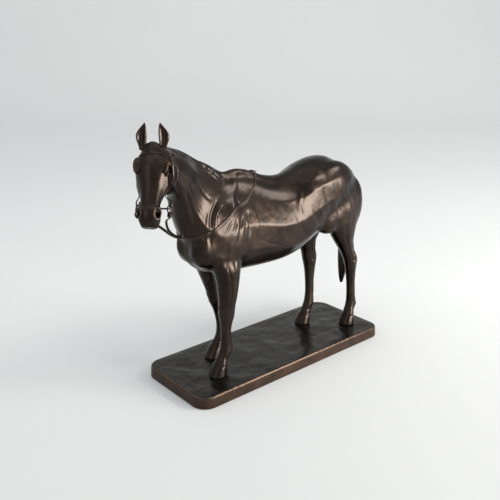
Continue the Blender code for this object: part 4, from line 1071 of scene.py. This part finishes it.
head_clay.soften(0.0003)
head_skin = worked_skin(head_clay)
neck_and_head = keep_piece(
    "neck_and_head_casting",
    casting_mesh(*head_skin),
    [(NECK_MIDDLE, -NECK_AWAY, everywhere)],
    ("neck_and_head", "neck_pin_near", "neck_pin_off"),
)

# Legs: the four castings below their joints, each ending in its hoof with its coronet.
leg_clay = Clay((-52, -17, -1), (62, 17, 54), 0.00066)
add_body(leg_clay)
add_legs(leg_clay)
leg_clay.soften(0.0008)
leg_skin = worked_skin(leg_clay)
leg_mesh = casting_mesh(*leg_skin)
for name, shape in LEGS.items():
    side, fore = shape[1], name.startswith("fore")
    own_part, joint = (in_front, FORE_JOINT) if fore else (behind, HIND_JOINT)
    keep_piece(
        name + "_casting",
        leg_mesh,
        [(Vector((0, 0, joint)), Vector((0, 0, 1)), everywhere)],
        (name,),
        lambda place: (place.y - HOOF_LINE.y) * side < 0 or not own_part(place),
    )

# Tail: a separate casting pinned under the dock, a thick switch of hair with combed locks.
TAIL = (
    (53.5, 0, 84, 56.5, 0, 88, 1.5, 2.2, 2.4, 2, 1.2),
    (57.5, 0, 80.5, 60.3, 0, 83, 1.5, 2.4, 2.6, 2.2, 1.2),
    (59.3, 0, 74, 62.6, 0, 75.5, 1.6, 2.8, 3, 2.5, 1.4),
    (59.2, 0, 64, 63.4, 0, 64, 1.8, 3.2, 3.5, 2.8, 1.6),
    (57.2, 0, 54, 63, 0, 53, 1.8, 3.4, 3.8, 3, 1.6),
    (56, 0, 44, 62, 0, 43, 1.7, 3.2, 3.6, 2.8, 1.4),
    (55.6, 0, 33, 60.6, 0, 32, 1.4, 2.6, 3, 2.4, 1.2),
    (56, 0, 25, 59.4, 0, 24.4, 0.9, 1.7, 1.9, 1.6, 0.8),
    (56.8, 0, 20.8, 58.4, 0, 20.6, 0.4, 0.7, 0.8, 0.7, 0.4),
)
TAIL_LOCKS, LOCK_STEPS, LOCK_THICKNESS = 26, 16, 0.55


def tail():
    clay = Clay((50, -7, 18), (66, 7, 91), 0.0005)
    rings = []
    rows = curve_rows(TAIL, 5)
    for row in rows:
        top, bottom = at(*row[3:6]), at(*row[:3])
        slim = row[6:] * 0.88
        rings.append(section(top, bottom, slim, (0, 1, 0), 40))
    clay.loft(rings, 0.001)
    random = np.random.default_rng(5)
    for lock in range(TAIL_LOCKS):
        angle = tau * (lock + 0.5) / TAIL_LOCKS + random.normal(0, 0.06)
        start, end = random.uniform(0, 0.12), random.uniform(0.82, 1.0)
        sway = random.normal(0, 0.10)
        points, radii = [], []
        for way in np.linspace(start, end, LOCK_STEPS):
            row = rows[min(int(way * (len(rows) - 1)), len(rows) - 1)]
            middle = (row[:3] + row[3:6]) / 2
            half = (row[3:6] - row[:3]) / 2
            turn = angle + sway * sin(way * 9 + lock)
            width = row[8]
            place = middle + half * cos(turn) * 0.92 + np.array((0, width, 0)) * sin(turn) * 0.86
            points.append(at(*place))
            share = min(0.95, max(0.1, (way - start) / (end - start)))
            radii.append(LOCK_THICKNESS * (0.5 + width / 4.5) * sin(pi * share) ** 0.5)
        clay.strand(points, radii, 0.0004)
    clay.soften(0.0003)
    points, quads = clay.skin()
    quads = outward(points, quads)
    keep_piece("tail_casting", casting_mesh(points, quads), [], ("tail",))


tail()

# The bridle. Narrow straps cast with the head, worked with rows of small stitches: a crownpiece behind the
# ears, a browband, and a cheekpiece on each side that folds round its bit ring.
STRAP = 0.0009
STRAP_WIDTH = 0.0024
REIN_WIDTH = 0.0046
REIN_SLIM = 0.0030
SPARE = 0.0003
STITCH = 0.0013
STRAP_PROFILE = (
    (-1, -0.35),
    (-0.86, 0.62),
    (-0.5, 1),
    (0, 1),
    (0.5, 1),
    (0.86, 0.62),
    (1, -0.35),
    (0.8, -1),
    (-0.8, -1),
)


def skin_of(pieces):
    """A tree of the pieces' surfaces, to find the nearest place on them."""
    points, faces = [], []
    for piece in pieces:
        base = len(points)
        points += [vert.co.copy() for vert in piece.data.vertices]
        faces += [tuple(index + base for index in polygon.vertices) for polygon in piece.data.polygons]
    return BVHTree.FromPolygons(points, faces)


horse_skin = skin_of([torso, neck_and_head])


def strap_line(stops):
    """Centres, outward directions, widths and cling along a strap that lies on the skin where it clings."""
    rows = [(*place, *outward, width, cling) for place, outward, width, cling in stops]
    line = []
    for row in curve_rows(rows, 10):
        place, out, width, cling = Vector(row[:3]), Vector(row[3:6]), row[6], min(max(row[7], 0), 1)
        skin, normal, _, _ = horse_skin.find_nearest(place)
        resting = skin + normal * STRAP * 0.4
        line.append([place.lerp(resting, cling), out.normalized().lerp(normal, cling), width])
    for _ in range(8):
        smooth = [list(stop) for stop in line]
        for index in range(1, len(line) - 1):
            before, here, after = line[index - 1 : index + 2]
            for item in (0, 1):
                smooth[index][item] = (before[item] + after[item] + here[item] * 2) / 4
        line = smooth
    for stop, row in zip(line, curve_rows(rows, 10)):
        skin, normal, _, _ = horse_skin.find_nearest(stop[0])
        lift = STRAP * 0.45 * min(max(row[7], 0), 1)
        if (stop[0] - skin).dot(normal) < lift:
            stop[0] = skin + normal * lift
    return line


def lay_strap(name, stops, node, bulge=0.0):
    """A strap with rounded edges along a line, carrying its length and breadth for the stitching."""
    line = strap_line(stops)
    last = len(line) - 1
    points, along_way, across_way = [], [], []
    travelled = 0.0
    for index, (centre, out, width) in enumerate(line):
        along = (line[min(index + 1, last)][0] - line[max(index - 1, 0)][0]).normalized()
        across = along.cross(out).normalized()
        raised = across.cross(along).normalized()
        travelled += (centre - line[max(index - 1, 0)][0]).length
        taper = 0.8 if index in (0, last) else 1.0
        for side, rise in STRAP_PROFILE:
            lift = rise + (bulge if abs(side) < 0.6 and rise > 0 else 0)
            points.append(centre + (across * side * width + raised * lift * STRAP) / 2 * taper)
            along_way.append(travelled)
            across_way.append(side)
    size = len(line), len(STRAP_PROFILE)
    piece = solid_from(name, points, tube_quads(*size) + end_caps(*size), strap_patina)
    stitches = 0.5 + 0.5 * np.sin(np.array(along_way) * tau / STITCH)
    edges = np.abs(np.array(across_way))
    mark(piece.data, "stitch", stitches * (edges > 0.4) * (edges < 0.9))
    mark(piece.data, "rim", edges**3)
    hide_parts(node)


strap_patina = Finish("strap_patina", metallic=0.85, coat_weight=0.1)
strap_grain = strap_patina.cloud(0.0018, 3.0)
strap_wear = (strap_patina.marked("rim") * (0.5 + strap_grain)).between(0.55, 1.15)
strap_colour = strap_patina.blend(strap_grain, (0.022, 0.015, 0.011), (0.038, 0.026, 0.020))
strap_patina.drive("Base Color", strap_patina.blend(strap_wear * 0.6, strap_colour, (0.16, 0.10, 0.065)))
strap_patina.drive("Roughness", 0.32 + 0.12 * strap_grain)
strap_patina.emboss(strap_patina.marked("stitch") * 0.8 + strap_grain * 0.3, 0.0003, 0.8)

BIT_DOWN, BIT_DEPTH = 26.2, 6.4
BIT_REACH = {NEAR: 7.0, OFF: 5.0}
RING_RADIUS, RING_WIRE = 0.0042, 0.0007
RING_SWING = radians(35)
EYE_RADIUS, EYE_WIRE = 0.0017, 0.0006
BAR_RADIUS = 0.0009
CROWN = ((5.0, 7.4, 6.6), (3, 6.8, 7.2), (0.6, 5.2, 6.2), (-1.2, 2.6, 5.4), (-1.6, 0, 5.2))
BROW = ((4.8, 7, 4.4), (4.2, 5.4, 1.4), (3.9, 3, 0), (3.8, 0, -0.4))
CHEEK = ((7.5, 7.6, 7.2), (12, 7.4, 7.6), (16.5, 6.8, 7.4), (20.4, 6.0, 7.4))


def head_stops(places, side, width):
    return [(on_head(d, -side * n, p), FACE_NEAR * -side, width, 1.0) for d, n, p in places]


def bit_place(side):
    return on_head(BIT_DOWN, -side * BIT_REACH[side], BIT_DEPTH)


def ring_axes(side):
    """Directions out of a ring's face and across it, away from the bar."""
    out = FACE_NEAR * -side
    facing = out * cos(RING_SWING) - FACE_DEEP * sin(RING_SWING)
    return facing, FACE_DEEP * cos(RING_SWING) + out * sin(RING_SWING)


def ring_middle(side):
    return bit_place(side) + ring_axes(side)[1] * RING_RADIUS


def folded_end(side, direction, width):
    """A strap end folded through a bit ring: from inside the ring, round its wire, to outside."""
    wire = ring_middle(side) + direction * RING_RADIUS
    out = ring_axes(side)[0]
    reach = RING_WIRE + SPARE * 1.5 + STRAP / 2
    stops = [(wire + direction * reach * 2.2 - out * reach, -out, width, 0.0)]
    for degrees in (-90, -45, 0, 45, 90):
        away = out * sin(radians(degrees)) - direction * cos(radians(degrees))
        stops.append((wire + away * reach, away, width, 0.0))
    stops.append((wire + direction * reach * 2.2 + out * reach, out, width, 0.0))
    return stops


def wire_loop(name, steps, centres, normal, wire, sides):
    """A closed loop of round wire: its middle line by angle, as a place and the way out from the loop."""
    points = []
    for step in range(steps):
        centre, out = centres(tau * step / steps)
        for side in range(sides):
            turn = tau * side / sides
            points.append(centre + out * cos(turn) * wire + normal * sin(turn) * wire)
    piece = solid_from(name, points, tube_quads(steps, sides, True), strap_patina)
    return piece


RING_STEPS, RING_SIDES = 48, 14


def ring(name, middle, axis, radius, wire):
    """A round ring, rubbed on its outside."""
    turn = axis.to_track_quat("Z", "Y").to_matrix()

    def centres(angle):
        out = turn @ Vector((cos(angle), sin(angle), 0))
        return middle + out * radius, out

    piece = wire_loop(name, RING_STEPS, centres, turn @ Vector((0, 0, 1)), wire, RING_SIDES)
    outside = 0.5 + 0.5 * np.cos(np.arange(RING_SIDES) * tau / RING_SIDES)
    mark(piece.data, "rim", np.tile(outside * 0.8, RING_STEPS))
    return piece


def whole_strap(half):
    """Stops over the head, from the near side to the off side."""
    return head_stops(half, NEAR, STRAP_WIDTH) + head_stops(half[-2::-1], OFF, STRAP_WIDTH)


lay_strap("crownpiece", whole_strap(CROWN), "bridle_crownpiece")
lay_strap("browband", whole_strap(BROW), "bridle_browband")
for side, word in ((NEAR, "near"), (OFF, "off")):
    fold = folded_end(side, -FACE_DOWN, STRAP_WIDTH)[::-1]
    stops = head_stops(CHEEK, side, STRAP_WIDTH) + fold
    lay_strap("cheekpiece_" + word, stops, "bridle_cheekpiece_" + word)
    bit_ring = ring("snaffle_ring_" + word, ring_middle(side), ring_axes(side)[0], RING_RADIUS, RING_WIRE)
    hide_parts("bit_ring_" + word)
    ring("snaffle_eye_" + word, bit_place(side), FACE_DOWN, EYE_RADIUS, EYE_WIRE)


def mouthpiece():
    """The bar between the two rings, thicker towards the cheeks."""
    ends = [bit_place(side) + FACE_NEAR * side * EYE_RADIUS for side in (NEAR, OFF)]
    turn = FACE_NEAR.to_track_quat("Z", "Y").to_matrix()
    steps, sides = 24, 16
    points = []
    for step in range(steps + 1):
        way = step / steps
        thick = BAR_RADIUS * (0.72 + 0.28 * abs(2 * way - 1))
        for side in range(sides):
            angle = tau * side / sides
            off_line = Vector((cos(angle) * thick, sin(angle) * thick, 0))
            points.append(ends[0].lerp(ends[1], way) + turn @ off_line)
    faces = tube_quads(steps + 1, sides) + end_caps(steps + 1, sides)
    piece = solid_from("snaffle_mouthpiece", points, faces, strap_patina)
    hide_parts("bit_mouthpiece")


mouthpiece()

# The reins. Each starts in a billet folded round its ring, hangs slack to the chest, widens where it lies
# on the shoulder, and narrows again up to the buckle over the withers.
NEAR_HANG = ((-71.1, -14, 87), (-70, -12.3, 83.8), (-67, -9.4, 80), (-62.2, -5.6, 76.2), (-57.4, -2.6, 73.4))
OFF_HANG = (
    (-77.8, -5.8, 87.2),
    (-73.4, -5.2, 84.4),
    (-68.1, -4, 80.8),
    (-61.4, -1.2, 75.5),
    (-56.6, 1, 72.4),
)
NEAR_CHEST = ((-53.8, -3, 72.3), (-51.2, -7.2, 73.2), (-47.8, -9.9, 74.2))
OFF_CHEST = ((-53.4, 3.6, 70.8), (-51, 7.2, 72.4), (-47.8, 9.9, 74.2))
SHOULDER = ((-43.5, 11, 75.8), (-37, 11.8, 79.4), (-29, 12, 84.6), (-22.3, 9.4, 86))
WITHERS = ((-17.4, 7, 89.6), (-13.6, 5, 92), (-11.4, 3, 94.8))
REIN_TOP = (-10.8, 0, 96.6)
REIN_END = 1.7


def body_stops(places, side, width, cling):
    out = Vector((0, side or NEAR, 0))
    return [(at(x, y if side is None else side * y, z), out, width, cling) for x, y, z in places]


for side, word in ((NEAR, "near"), (OFF, "off")):
    hang, chest = (NEAR_HANG, NEAR_CHEST) if side == NEAR else (OFF_HANG, OFF_CHEST)
    stops = folded_end(side, FACE_DOWN, REIN_WIDTH)
    stops += body_stops(hang, None, REIN_SLIM, 0.0)
    stops += body_stops(chest, None, REIN_WIDTH, 1.0)
    stops += body_stops(SHOULDER, side, REIN_WIDTH, 1.0)
    stops += body_stops(WITHERS, side, REIN_SLIM, 1.0)
    stops += body_stops([(REIN_TOP[0], side * REIN_END, REIN_TOP[2])], None, REIN_SLIM, 1.0)
    lay_strap("rein_strap_" + word, stops, "rein_" + word, 0.15)


BUCKLE_WIRE, BUCKLE_HALF = 0.0005, 0.0030


def buckle():
    """The small wire frame that joins the reins over the withers."""
    skin, normal, _, _ = horse_skin.find_nearest(at(*REIN_TOP))
    middle = skin + normal * (BUCKLE_WIRE + SPARE)
    tilt = Vector((1, 0, 0)).cross(normal).normalized()
    ahead = tilt.cross(normal)
    half_wide = REIN_END * UNIT - BUCKLE_WIRE - SPARE * 2

    def centres(angle):
        push = max(abs(cos(angle)), abs(sin(angle))) ** 0.7
        forth, across = cos(angle) / push * BUCKLE_HALF, sin(angle) / push * half_wide
        out = (ahead * cos(angle) + tilt * sin(angle)).normalized()
        return middle + ahead * forth + tilt * across, out

    piece = wire_loop("rein_buckle_frame", 40, centres, normal, BUCKLE_WIRE, 12)
    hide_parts("rein_buckle")


buckle()

# Hoof fixings under the plinth: brass studs, washers and nuts, turned and left bright.
fixing_brass = Finish("fixing_brass_turned", metallic=1.0)
brass_stain = fixing_brass.cloud(0.0015, 3.0)
BRASS_BRIGHT, BRASS_STAINED = (0.45, 0.30, 0.12), (0.20, 0.13, 0.06)
brass_colour = fixing_brass.blend(brass_stain.between(0.4, 0.7), BRASS_BRIGHT, BRASS_STAINED)
fixing_brass.drive("Base Color", brass_colour)
fixing_brass.drive("Roughness", 0.28 + 0.25 * brass_stain)
fixing_brass.emboss(fixing_brass.cloud(0.0004, 2.0), 0.00005, 0.5)
for node, part in frame["nodes"].items():
    if node.startswith("hoof_"):
        part.data.materials.clear()
        part.data.materials.append(fixing_brass.material)

# The studio: a pale seamless sweep in a pale room, with a broad soft light low at the front right, a small
# one higher up, a large dim one overhead and a faint card at the front left.
# The nearer colour is painted shade: the front of the floor is painted greyer where the window's light pools.
SWEEP_FAR, SWEEP_NEAR_PAINTED_SHADE = (0.78, 0.785, 0.78), (0.60, 0.605, 0.60)
SWEEP_WIDTH, SWEEP_REACH, SWEEP_BEND, SWEEP_HEIGHT = 9.0, 3.2, 1.6, 5.0
SWEEP_TURN = radians(40.5)


def sweep():
    """A floor that curves up into a wall far behind the statue, with painted shade that makes it a little
    greyer in front, where the window's light falls strongest.
    """
    finish = Finish("sweep", roughness=0.75)
    paper = finish.cloud(0.4, 2.0)
    # Share of painted shade: full on the floor's front rows, with a little paper mottle.
    painted_front_shade = finish.marked("painted_front_shade") * 0.85 + paper * 0.15
    finish.drive("Base Color", finish.blend(painted_front_shade, SWEEP_FAR, SWEEP_NEAR_PAINTED_SHADE))
    away = Vector((sin(SWEEP_TURN), cos(SWEEP_TURN), 0))
    across = Vector((cos(SWEEP_TURN), -sin(SWEEP_TURN), 0))
    profile = [(-5.0, 0.0), (-1.0, 0.0), (-0.35, 0.0), (0.25, 0.0), (1.2, 0.0)]
    for step in range(1, 13):
        angle = pi / 2 * step / 12
        forth = SWEEP_REACH - SWEEP_BEND + SWEEP_BEND * sin(angle)
        profile.append((forth, SWEEP_BEND * (1 - cos(angle))))
    profile.append((SWEEP_REACH, SWEEP_HEIGHT))
    points, faces = [], []
    for forth, height in profile:
        for side in (-1, 1):
            points.append(away * forth + across * side * SWEEP_WIDTH / 2 + Vector((0, 0, height)))
    for level in range(len(profile) - 1):
        faces.append((2 * level, 2 * level + 1, 2 * level + 3, 2 * level + 2))
    mesh = bpy.data.meshes.new("sweep")
    mesh.from_pydata([tuple(point) for point in points], [], faces)
    for polygon in mesh.polygons:
        polygon.use_smooth = True
    # The three front rows of the floor carry the painted shade.
    mark(mesh, "painted_front_shade", [1.0] * 6 + [0.0] * (len(points) - 6))
    mesh.materials.append(finish.material)
    floor = bpy.data.objects.new("sweep", mesh)
    bpy.context.scene.collection.objects.link(floor)


def soft_light(name, place, aim, width, height, power, colour):
    """A rectangle of light at a place, facing its aim."""
    light = bpy.data.lights.new(name, "AREA")
    light.shape = "RECTANGLE"
    light.size, light.size_y = width, height
    light.energy = power
    light.color = colour
    item = bpy.data.objects.new(name, light)
    item.location = place
    item.rotation_euler = (Vector(aim) - Vector(place)).to_track_quat("-Z", "Y").to_euler()
    bpy.context.scene.collection.objects.link(item)


sweep()
soft_light("window", (0.82, -1.68, 0.25), (0, 0, 0.16), 1.35, 0.46, 56, (1.0, 0.96, 0.91))
soft_light("high_window", (1.15, -1.0, 1.25), (0, 0, 0.2), 0.5, 0.4, 10, (1.0, 0.97, 0.93))
soft_light("ceiling", (-0.3, -0.2, 2.0), (0, 0, 0), 2.2, 2.2, 14, (1.0, 1.0, 1.0))
soft_light("left_card", (-1.7, -0.5, 0.8), (0, 0, 0.15), 0.8, 1.2, 3, (0.95, 0.98, 1.0))
world = bpy.data.worlds.new("room")
bpy.context.scene.world = world
world.use_nodes = True
world.node_tree.nodes["Background"].inputs["Color"].default_value = (0.80, 0.83, 0.85, 1)
world.node_tree.nodes["Background"].inputs["Strength"].default_value = 0.78
bpy.context.scene.view_settings.view_transform = "Standard"

# The camera, at the front left and a little above.
CAMERA_BACK = Vector((-0.61352, -0.71785, 0.32930))
CAMERA_PLACE = Vector((-0.50766, -0.58561, 0.41694))
camera_data = bpy.data.cameras.new("camera")
camera_data.sensor_width = 36.0
camera_data.lens = 49.212
camera_data.clip_start = 0.02
camera = bpy.data.objects.new("camera", camera_data)
camera.location = CAMERA_PLACE
camera.rotation_euler = CAMERA_BACK.to_track_quat("Z", "Y").to_euler()
bpy.context.scene.collection.objects.link(camera)
bpy.context.scene.camera = camera
